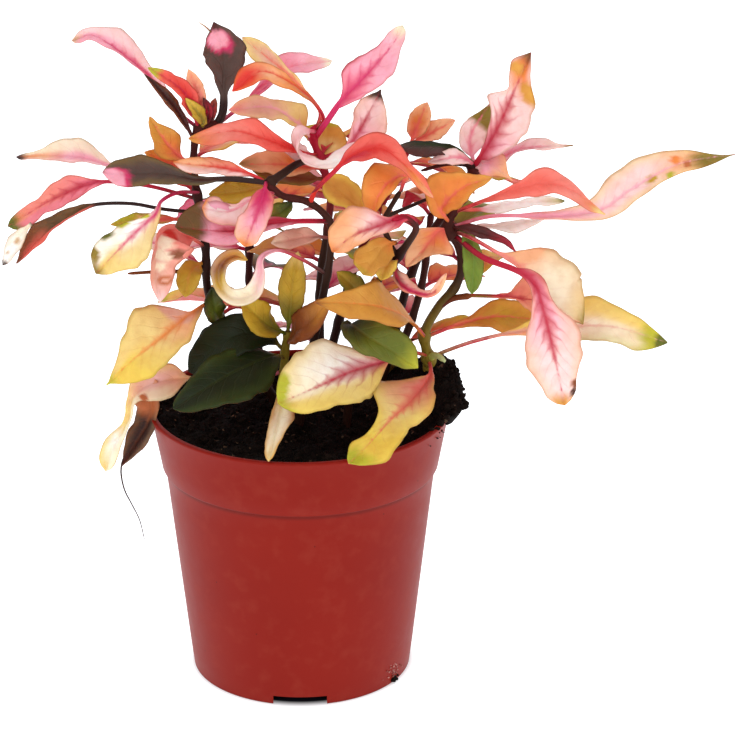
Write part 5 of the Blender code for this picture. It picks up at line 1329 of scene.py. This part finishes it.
def make_shoot(name, shoot, leaf_material, stem_material):
    """The fine leaves and stems of one shoot, which stand for its CAD node."""
    rods = [([place(*point) for point in route], *radii, words)
            for radii, route, words in read_list(shoot["stems"])]
    leaves = []
    roots = []
    for (width,), route, sentence, *shape in read_list(shoot["leaves"]):
        points = [place(*point) for point in route]
        roots.append(points[0])
        phase = LEAF_PHASE * (len(rods) + len(leaves))
        leaves.append(leaf(points, width, read_look(sentence), phase=phase, **read_shape(*shape)))
    if "pairs" in shoot:
        rule = dict(shoot["pairs"])
        looks = rule.pop("looks")
        for order, (points, width) in enumerate(pairs(rods[0][0], **rule)):
            roots.append(points[0])
            phase = LEAF_PHASE * (len(rods) + len(leaves))
            look = read_look(looks[order % len(looks)])
            turn = {"widest": 0.46 + 0.08 * math.sin(phase), "lean": 0.25 * math.sin(2 * phase),
                    "fold": 0.3 + 0.15 * math.sin(3 * phase), "wave": 1.1 + 0.5 * math.cos(phase)}
            leaves.append(leaf(points, width, look, facing=UPWARD, phase=phase, **turn))
    rods[0] = (planted(rods[0][0]), *rods[0][1:])
    stems = [stem(*rod, roots) for rod in rods]
    for radii, route, words in read_list(shoot.get("threads", "")):
        stems.append(stem([place(*point) for point in route], *radii, words, []))
    short = name.replace("shoot_", "")
    slot = "dark_leaf" if name == "shoot_low" else "variegated_leaf"
    gather(short + "_leaves", leaves, leaf_material, slot, name)
    gather(short + "_stem", stems, stem_material, slot, name)


# Pot and soil


def inner_wall(z):
    """The radius of the pot's inner face at a height over its floor."""
    if z > BAND_BOTTOM:
        share = (z - BAND_BOTTOM) / (POT_HEIGHT - BAND_BOTTOM)
        return BAND_BOTTOM_RADIUS - WALL + (RIM_INNER_RADIUS - BAND_BOTTOM_RADIUS + WALL) * share
    return BASE_RADIUS - WALL + (BODY_TOP_RADIUS - BASE_RADIUS) * z / BAND_BOTTOM


def closed(rings, low_pole, high_pole):
    """A solid as (points, faces), from rings of equally many points and the poles that close it."""
    sides = len(rings[0])
    points = [low_pole] + [point for ring in rings for point in ring] + [high_pole]
    last = len(points) - 1
    faces = []
    for corner in range(sides):
        after = (corner + 1) % sides
        faces.append((0, 1 + after, 1 + corner))
        for ring in range(len(rings) - 1):
            here = 1 + ring * sides
            there = here + sides
            faces.append((here + corner, here + after, there + after, there + corner))
        end = 1 + (len(rings) - 1) * sides
        faces.append((last, end + corner, end + after))
    return points, faces


def turned(profile, sides):
    """A solid of revolution about Z as (points, faces), from a profile that starts and ends on it."""
    angles = [math.tau * corner / sides for corner in range(sides)]
    rings = [[(r * math.cos(a), r * math.sin(a), z) for a in angles] for r, z in profile[1:-1]]
    return closed(rings, (0, 0, profile[0][1]), (0, 0, profile[-1][1]))


def rounded(centre_radius, centre_z, radius, start, end, steps=6):
    """Profile points round part of a circle, from one angle to another in degrees."""
    points = []
    for step in range(steps + 1):
        angle = math.radians(start + (end - start) * step / steps)
        points.append((centre_radius + radius * math.cos(angle), centre_z + radius * math.sin(angle)))
    return points


def pot_profile():
    """The pot's half section, from the middle of its underside round its rim to its floor."""
    foot_inner = BASE_RADIUS - FOOT_WIDTH
    profile = [(0, 0), (HUB_RADIUS, 0), (HUB_RADIUS + 0.4, FOOT_HEIGHT)]
    profile += [(foot_inner - 0.4, FOOT_HEIGHT), (foot_inner, 0.4), (foot_inner + 0.4, 0)]
    profile += rounded(BASE_RADIUS - 0.6, 0.6, 0.6, -90, -7)
    for share in (0.1, 0.3, 0.5, 0.7, 0.9):
        z = share * BAND_BOTTOM
        profile.append((BASE_RADIUS + (BODY_TOP_RADIUS - BASE_RADIUS) * share, z))
    profile += [(BODY_TOP_RADIUS, BAND_BOTTOM - 0.5), (BODY_TOP_RADIUS + 0.15, BAND_BOTTOM - 0.2)]
    profile += [(BAND_BOTTOM_RADIUS - 0.15, BAND_BOTTOM + 0.1)]
    profile += [(BAND_BOTTOM_RADIUS + 0.1, BAND_BOTTOM + 0.5)]
    for share in (0.3, 0.6, 0.85):
        z = BAND_BOTTOM + (POT_HEIGHT - BAND_BOTTOM) * share
        radius = BAND_BOTTOM_RADIUS + (RIM_RADIUS - 0.4 - BAND_BOTTOM_RADIUS) * share
        profile.append((radius, z))
    profile += rounded(RIM_RADIUS - RIM_ROUND, POT_HEIGHT - RIM_ROUND, RIM_ROUND, -25, 90)
    inner = RIM_INNER_RADIUS + INNER_ROUND
    profile += rounded(inner, POT_HEIGHT - INNER_ROUND, INNER_ROUND, 90, 180)
    top = BAND_BOTTOM + 0.5
    low = BAND_BOTTOM - 1
    profile += [(inner_wall(top), top), (inner_wall(low), low)]
    profile += [(inner_wall(FLOOR_TOP + 0.6), FLOOR_TOP + 0.6)]
    return profile + [(inner_wall(FLOOR_TOP) - 0.6, FLOOR_TOP), (0, FLOOR_TOP)]


def notch_cutters(material):
    """A block through the foot ring for each of its notches."""
    cutters = []
    for notch in range(NOTCH_COUNT):
        angle = -math.pi / 2 + math.tau * notch / NOTCH_COUNT
        outward = np.array([math.cos(angle), math.sin(angle), 0])
        across = np.array([-math.sin(angle), math.cos(angle), 0]) * NOTCH_WIDTH / 2
        corners = []
        for distance in (BASE_RADIUS - FOOT_WIDTH - 3, BASE_RADIUS + 3):
            for z in (-3, FOOT_HEIGHT - 0.05):
                for hand in (-1, 1):
                    corners.append(outward * distance + across * hand + np.array([0, 0, z]))
        sides = [(0, 2, 3, 1), (4, 5, 7, 6), (0, 1, 5, 4)]
        sides += [(2, 6, 7, 3), (0, 4, 6, 2), (1, 3, 7, 5)]
        cutters.append(add_solid("notch", corners, sides, [material], False))
    return cutters


def drain_cutters(material):
    """A round bar through the floor for each drain hole."""
    hole = [(0, FOOT_HEIGHT - 2), (DRAIN_RADIUS, FOOT_HEIGHT - 2)]
    hole += [(DRAIN_RADIUS, FLOOR_TOP + 2), (0, FLOOR_TOP + 2)]
    points, faces = turned(hole, DRAIN_SIDES)
    cutters = []
    for drain in range(DRAIN_COUNT):
        angle = math.tau * (drain + 0.5) / DRAIN_COUNT
        x = DRAIN_CIRCLE * math.cos(angle)
        y = DRAIN_CIRCLE * math.sin(angle)
        cutters.append(add_solid("drain", np.array(points) + (x, y, 0), faces, [material], False))
    return cutters


def cut_away(solid, cutters):
    """Cuts the cutters out of a solid, and removes them."""
    group = bpy.data.collections.new("cutters")
    for cutter in cutters:
        group.objects.link(cutter)
    boolean = solid.modifiers.new("Cut", "BOOLEAN")
    boolean.operand_type = "COLLECTION"
    boolean.collection = group
    graph = bpy.context.evaluated_depsgraph_get()
    cut = bpy.data.meshes.new_from_object(solid.evaluated_get(graph))
    solid.modifiers.clear()
    solid.data = cut
    for cutter in cutters:
        bpy.data.objects.remove(cutter)
    bpy.data.collections.remove(group)


def make_pot(material):
    """The nursery pot with a rounded rim, a stepped band, foot notches and drain holes."""
    pot = add_solid("nursery_pot", *turned(pot_profile(), POT_SIDES), [material])
    cut_away(pot, notch_cutters(material) + drain_cutters(material))
    pot.data.shade_smooth()
    pot.data.set_sharp_from_angle(angle=SHARP_EDGE)
    as_piece(pot, "pot_plastic", "pot")


def spilled(angle):
    """How much of the rim is under soil at an angle about the axis, from 0 to 1."""
    turn = math.degrees((angle + math.pi) % math.tau - math.pi)
    return float(ease(SPILL_FROM, SPILL_FROM + 16, turn) * ease(SPILL_TO, SPILL_TO - 22, turn))


def surface_height(x, y):
    """The height of the fine soil: the packed soil's, with the spill raised over the rim."""
    level = soil_height(x, y)
    radius = math.hypot(x, y)
    rim_side = float(ease(33, 43, radius))
    spill = max(0, SPILL_HEIGHT - level) * spilled(math.atan2(y, x))
    return level + rim_side * (spill + SOIL_BANK * (1 - spilled(math.atan2(y, x))))


def crumble(x, y):
    """The unevenness of the fine soil, in lumps of 3.2 mm and grains of 0.9 mm."""
    spot = Vector((x, y, 0))
    coarse = noise.fractal(spot / 3.2, 1.0, 2.0, 3)
    fine = noise.noise(spot / 0.9)
    return 0.85 * coarse + 0.3 * fine


def ring_at(angles, radii, heights):
    """A ring of points about Z, with a radius and a height for each angle."""
    return [(radius * math.cos(angle), radius * math.sin(angle), height)
            for angle, radius, height in zip(angles, radii, heights)]


def spill_rings(angles, walls, tops):
    """The spilled soil's rings over the rim, past it and a little down its outside, then outward.

    Where nothing is spilled, they lie tucked just inside the wall.
    """
    over = POT_HEIGHT + CLEAR
    steps = ((RIM_RADIUS + 0.2, over), (RIM_RADIUS + 0.6, over - 3.4),
             (SPILL_RADIUS - 1, SPILL_HEIGHT - 2.2), (SPILL_RADIUS, SPILL_HEIGHT - 0.4))
    rough = [crumble(14 * math.cos(4 * angle), 14 * math.sin(4 * angle)) for angle in angles]
    rings = []
    for order, (radius, height) in enumerate(steps, 1):
        tucked = SPILL_TUCK * order
        radii = []
        heights = []
        for angle, wall, top, uneven in zip(angles, walls, tops, rough):
            share = spilled(angle)
            radii.append(wall - tucked + (radius + 1.1 * uneven - wall + tucked) * share)
            heights.append(top + tucked + (height + 0.8 * uneven - top - tucked) * share)
        rings.append(ring_at(angles, radii, heights))
    return rings


def top_rings(angles, walls):
    """The rings of the soil's crumbly top, from its edge in toward the axis."""
    outer = [wall - 0.6 + (SPILL_RADIUS - wall) * spilled(angle) for angle, wall in zip(angles, walls)]
    rings = []
    for ring in range(SOIL_RINGS):
        share = 1 - (ring + 0.4) / (SOIL_RINGS + 0.6)
        row = []
        for angle, radius in zip(angles, outer):
            x = radius * share * math.cos(angle)
            y = radius * share * math.sin(angle)
            row.append((x, y, surface_height(x, y) + crumble(x, y) * min(1, (1 - share) * 14)))
        rings.append(row)
    return rings


def make_soil(material):
    """The soil, heaped at the right and spilled over the rim, with a fine crumbly top."""
    edge = RIM_INNER_RADIUS - CLEAR
    angles = [math.tau * corner / SOIL_SIDES for corner in range(SOIL_SIDES)]
    rings = []
    for z in (FLOOR_TOP + CLEAR, 30, BAND_BOTTOM - 1 - CLEAR, BAND_BOTTOM + 0.5 + CLEAR):
        rings.append(ring_at(angles, [inner_wall(z) - CLEAR] * SOIL_SIDES, [z] * SOIL_SIDES))
    levels = [surface_height(edge * math.cos(angle), edge * math.sin(angle)) for angle in angles]
    tops = [min(level - 0.6, POT_HEIGHT + CLEAR) for level in levels]
    walls = [inner_wall(min(z, POT_HEIGHT)) - CLEAR for z in tops]
    rings.append(ring_at(angles, walls, tops))
    rings += spill_rings(angles, walls, tops) + top_rings(angles, walls)
    points, faces = closed(rings, (0, 0, FLOOR_TOP + CLEAR), (0, 0, surface_height(0, 0)))
    soil = add_solid("potting_soil", points, faces, [material])
    as_piece(soil, "potting_soil", "soil")
    return soil


def lump(centre, size, seed):
    """A small uneven clod as points and faces."""
    shape = bmesh.new()
    bmesh.ops.create_icosphere(shape, subdivisions=1 if size < 0.8 else 2, radius=1)
    draw = random.Random(seed)
    stretch = np.array([draw.uniform(0.7, 1.3) for _ in range(3)]) * size
    points = []
    for corner in shape.verts:
        bulge = 1 + 0.35 * noise.noise(corner.co * 1.6 + Vector((seed, 0, 0)))
        points.append(np.array(corner.co) * bulge * stretch + centre)
    faces = [[corner.index for corner in face.verts] for face in shape.faces]
    shape.free()
    return points, faces


def add_clods(name, clods, material):
    """One piece of several clods, each given as its centre and size."""
    points = []
    faces = []
    for order, (centre, size) in enumerate(clods):
        more, sides = lump(np.array(centre), size, order)
        faces += [[corner + len(points) for corner in side] for side in sides]
        points += more
    as_piece(add_solid(name, points, faces, [material]), "potting_soil")


def spill_crumbs():
    """Crumbs on and just outside the rim along the spill, and a few stuck below it."""
    draw = random.Random(11)
    clods = []
    for _ in range(SPILT_CRUMBS):
        angle = math.radians(draw.uniform(SPILL_FROM - 4, SPILL_TO))
        radius = draw.uniform(43, 44.6 + 5.5 * spilled(angle))
        x = radius * math.cos(angle)
        y = radius * math.sin(angle)
        top = max(POT_HEIGHT + 0.2, surface_height(x, y)) if radius < 46 else SPILL_HEIGHT - 0.5
        clods.append(((x, y, top + draw.uniform(-0.5, 0.4)), draw.uniform(0.35, 1.0)))
    for _ in range(FALLEN_CRUMBS):
        angle = math.radians(draw.uniform(SPILL_FROM - 6, SPILL_FROM + 12))
        z = draw.uniform(79, 83)
        radius = RIM_RADIUS - 0.2 * (POT_HEIGHT - z)
        spot = (radius * math.cos(angle), radius * math.sin(angle), z)
        clods.append((spot, draw.uniform(0.2, 0.4)))
    return clods


def base_crumbs(count, spread, lowest, highest, smallest, largest):
    """Crumbs stuck low on the pot at the right, over some degrees of its round."""
    draw = random.Random(count)
    clods = []
    for _ in range(count):
        angle = math.radians(draw.gauss(BASE_CLUMP_ANGLE, spread))
        z = draw.uniform(lowest, highest)
        radius = BASE_RADIUS + 0.1 * z + draw.uniform(0, 0.3)
        spot = (radius * math.cos(angle), radius * math.sin(angle), z)
        clods.append((spot, draw.uniform(smallest, largest)))
    return clods


def crumb_tree(material):
    """Geometry nodes that strew crumbs over the upward faces of a surface."""
    tree = bpy.data.node_groups.new("strewn crumbs", "GeometryNodeTree")
    for socket, kind in zip(CRUMB_INPUTS, ("Geometry", "Float", "Float", "Float", "Int")):
        tree.interface.new_socket(socket, in_out="INPUT", socket_type="NodeSocket" + kind)
    tree.interface.new_socket("Crumbs", in_out="OUTPUT", socket_type="NodeSocketGeometry")
    given = add(tree, "NodeGroupInput").outputs
    surface, density, smallest, largest, seed = (given[socket] for socket in CRUMB_INPUTS)
    facing = add(tree, "GeometryNodeInputNormal").outputs["True Normal"]
    lift = add(tree, "ShaderNodeSeparateXYZ", {0: facing}).outputs["Z"]
    upward = add(tree, "FunctionNodeCompare", {0: lift, 1: 0.2}, operation="GREATER_THAN")
    points = add(tree, "GeometryNodeDistributePointsOnFaces",
                 {"Mesh": surface, "Selection": upward.outputs[0], "Density": density, "Seed": seed})
    ball = add(tree, "GeometryNodeMeshIcoSphere", {"Radius": 1.0, "Subdivisions": 1})
    turn = add(tree, "FunctionNodeRandomValue",
               {0: (0, 0, 0), 1: (math.tau, math.tau, math.tau), "Seed": seed},
               data_type="FLOAT_VECTOR")
    size = add(tree, "FunctionNodeRandomValue", {2: smallest, 3: largest, "Seed": seed},
               data_type="FLOAT")
    squash = add(tree, "FunctionNodeRandomValue", {0: (0.6, 0.6, 0.45), 1: (1.4, 1.1, 0.8), "Seed": 7},
                 data_type="FLOAT_VECTOR")
    scale = add(tree, "ShaderNodeVectorMath", {0: squash.outputs[0], "Scale": size.outputs[1]},
                operation="SCALE")
    crumbs = add(tree, "GeometryNodeInstanceOnPoints",
                 {"Points": points.outputs["Points"], "Instance": ball.outputs["Mesh"],
                 "Rotation": turn.outputs[0], "Scale": scale.outputs[0]})
    real = add(tree, "GeometryNodeRealizeInstances", {"Geometry": crumbs.outputs["Instances"]})
    rough = add(tree, "ShaderNodeTexNoise", {"Scale": 1 / (1.1 * MM)})
    shifted = add(tree, "ShaderNodeVectorMath", {0: rough.outputs["Color"], 1: (0.5, 0.5, 0.5)},
                  operation="SUBTRACT")
    small = add(tree, "ShaderNodeVectorMath", {0: shifted.outputs[0], "Scale": 1.6 * MM},
                operation="SCALE")
    moved = add(tree, "GeometryNodeSetPosition",
                {"Geometry": real.outputs[0], "Offset": small.outputs[0]})
    painted = add(tree, "GeometryNodeSetMaterial", {"Geometry": moved.outputs[0], "Material": material})
    add(tree, "NodeGroupOutput", {0: painted.outputs[0]})
    return tree


def strew(name, surface, tree, per_square_cm, smallest, largest, seed):
    """Crumbs over a surface, as a plain mesh of its own."""
    holder = bpy.data.objects.new(name, surface.data.copy())
    bpy.context.scene.collection.objects.link(holder)
    modifier = holder.modifiers.new("Crumbs", "NODES")
    modifier.node_group = tree
    values = (per_square_cm * 10000, smallest * MM, largest * MM, seed)
    inputs = dict(zip(CRUMB_INPUTS[1:], values))
    for socket in tree.interface.items_tree:
        if socket.name in inputs:
            modifier[socket.identifier] = inputs[socket.name]
    graph = bpy.context.evaluated_depsgraph_get()
    crumbs = bpy.data.meshes.new_from_object(holder.evaluated_get(graph))
    holder.modifiers.clear()
    holder.data = crumbs
    as_piece(holder, "potting_soil")


# Camera, floor and light


def aim_camera():
    camera = bpy.data.objects.new("camera", bpy.data.cameras.new("camera"))
    bpy.context.scene.collection.objects.link(camera)
    camera.data.lens = LENS
    camera.data.sensor_width = SENSOR
    camera.data.clip_end = 20
    back = EYE_DISTANCE * COS_PITCH
    up = AIM_HEIGHT + EYE_DISTANCE * SIN_PITCH
    camera.location = (AIM_ACROSS * MM, -back * MM, up * MM)
    camera.rotation_euler = (math.pi / 2 - VIEW_PITCH, 0, 0)
    bpy.context.scene.camera = camera


def light_studio():
    """A softly backlit white table under a plain white sky, with broad soft lights in front.

    Round the pot the table has a painted contact shadow: it glows less there, and its colour
    turns dark blue-grey under the pot.
    """
    paper, tree, shader = new_material("backlit acrylic", Roughness=0.9, Specular_IOR_Level=0.1)
    shader.inputs["Emission Color"].default_value = shade("#FFFFFF")
    place_on = add(tree, "ShaderNodeTexCoord").outputs["Object"]
    away = add(tree, "ShaderNodeVectorMath", {0: place_on}, operation="LENGTH")
    # Painted contact shadow: under and just beside the pot the table glows less and turns dark blue-grey
    clear = add(tree, "ShaderNodeMapRange", {0: away, 1: GLOW_FROM * MM, 2: GLOW_FULL * MM})
    glow = add(tree, "ShaderNodeMath", {0: clear, 1: FLOOR_GLOW}, operation="MULTIPLY")
    tone = add(
        tree, "ShaderNodeMix", {0: clear, 6: shade("#262C38"), 7: shade("#F3F5F8")}, data_type="RGBA"
    )
    finish(tree, shader, {"Base Color": tone, "Emission Strength": glow})
    corners = [(x * FLOOR_HALF, y * FLOOR_HALF, 0) for x, y in ((-1, -1), (1, -1), (1, 1), (-1, 1))]
    floor = add_solid("floor", corners, [(0, 1, 2, 3)], [paper], False)
    world = bpy.data.worlds.new("white sky")
    bpy.context.scene.world = world
    world.use_nodes = True
    sky = world.node_tree.nodes["Background"]
    sky.inputs["Color"].default_value = shade("#FBFCFF")
    sky.inputs["Strength"].default_value = SKY_STRENGTH
    for name, watts, size, spot, target in LIGHTS:
        light = bpy.data.lights.new(name, "AREA")
        light.energy = watts
        light.size = size
        lamp = bpy.data.objects.new(name, light)
        bpy.context.scene.collection.objects.link(lamp)
        lamp.location = spot
        lamp.rotation_euler = (Vector(target) - Vector(spot)).to_track_quat("-Z", "Y").to_euler()
    view = bpy.context.scene.view_settings
    view.view_transform = "Standard"
    view.look = "None"


def main():
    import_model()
    aim_camera()
    light_studio()
    plastic = moulded_plastic()
    peat = crumbly("damp peat", "#0B0807", "#1B1410", 0.012)
    crumb_peat = crumbly("peat crumbs", "#0E0A08", "#241A14", 0.02)
    dried_peat = crumbly("dried peat dust", "#8F4F45", "#C9938A", 0.0)
    bright_leaf = living_leaf("variegated leaf", 0.46, 0.28)
    dark_leaf = living_leaf("dark leaf", 0.42, 0.16)
    stem_skin = living_stem()
    make_pot(plastic)
    soil = make_soil(peat)
    crumbs = crumb_tree(crumb_peat)
    strew("small_crumbs", soil, crumbs, *SMALL_CRUMBS)
    strew("large_crumbs", soil, crumbs, *LARGE_CRUMBS)
    add_clods("spilled_crumbs", spill_crumbs(), crumb_peat)
    add_clods("base_crumbs", base_crumbs(*BASE_CRUMBS), crumb_peat)
    add_clods("base_grains", base_crumbs(*BASE_GRAINS), dried_peat)
    for name, shoot in SHOOTS.items():
        make_shoot(name, shoot, dark_leaf if name == "shoot_low" else bright_leaf, stem_skin)


main()
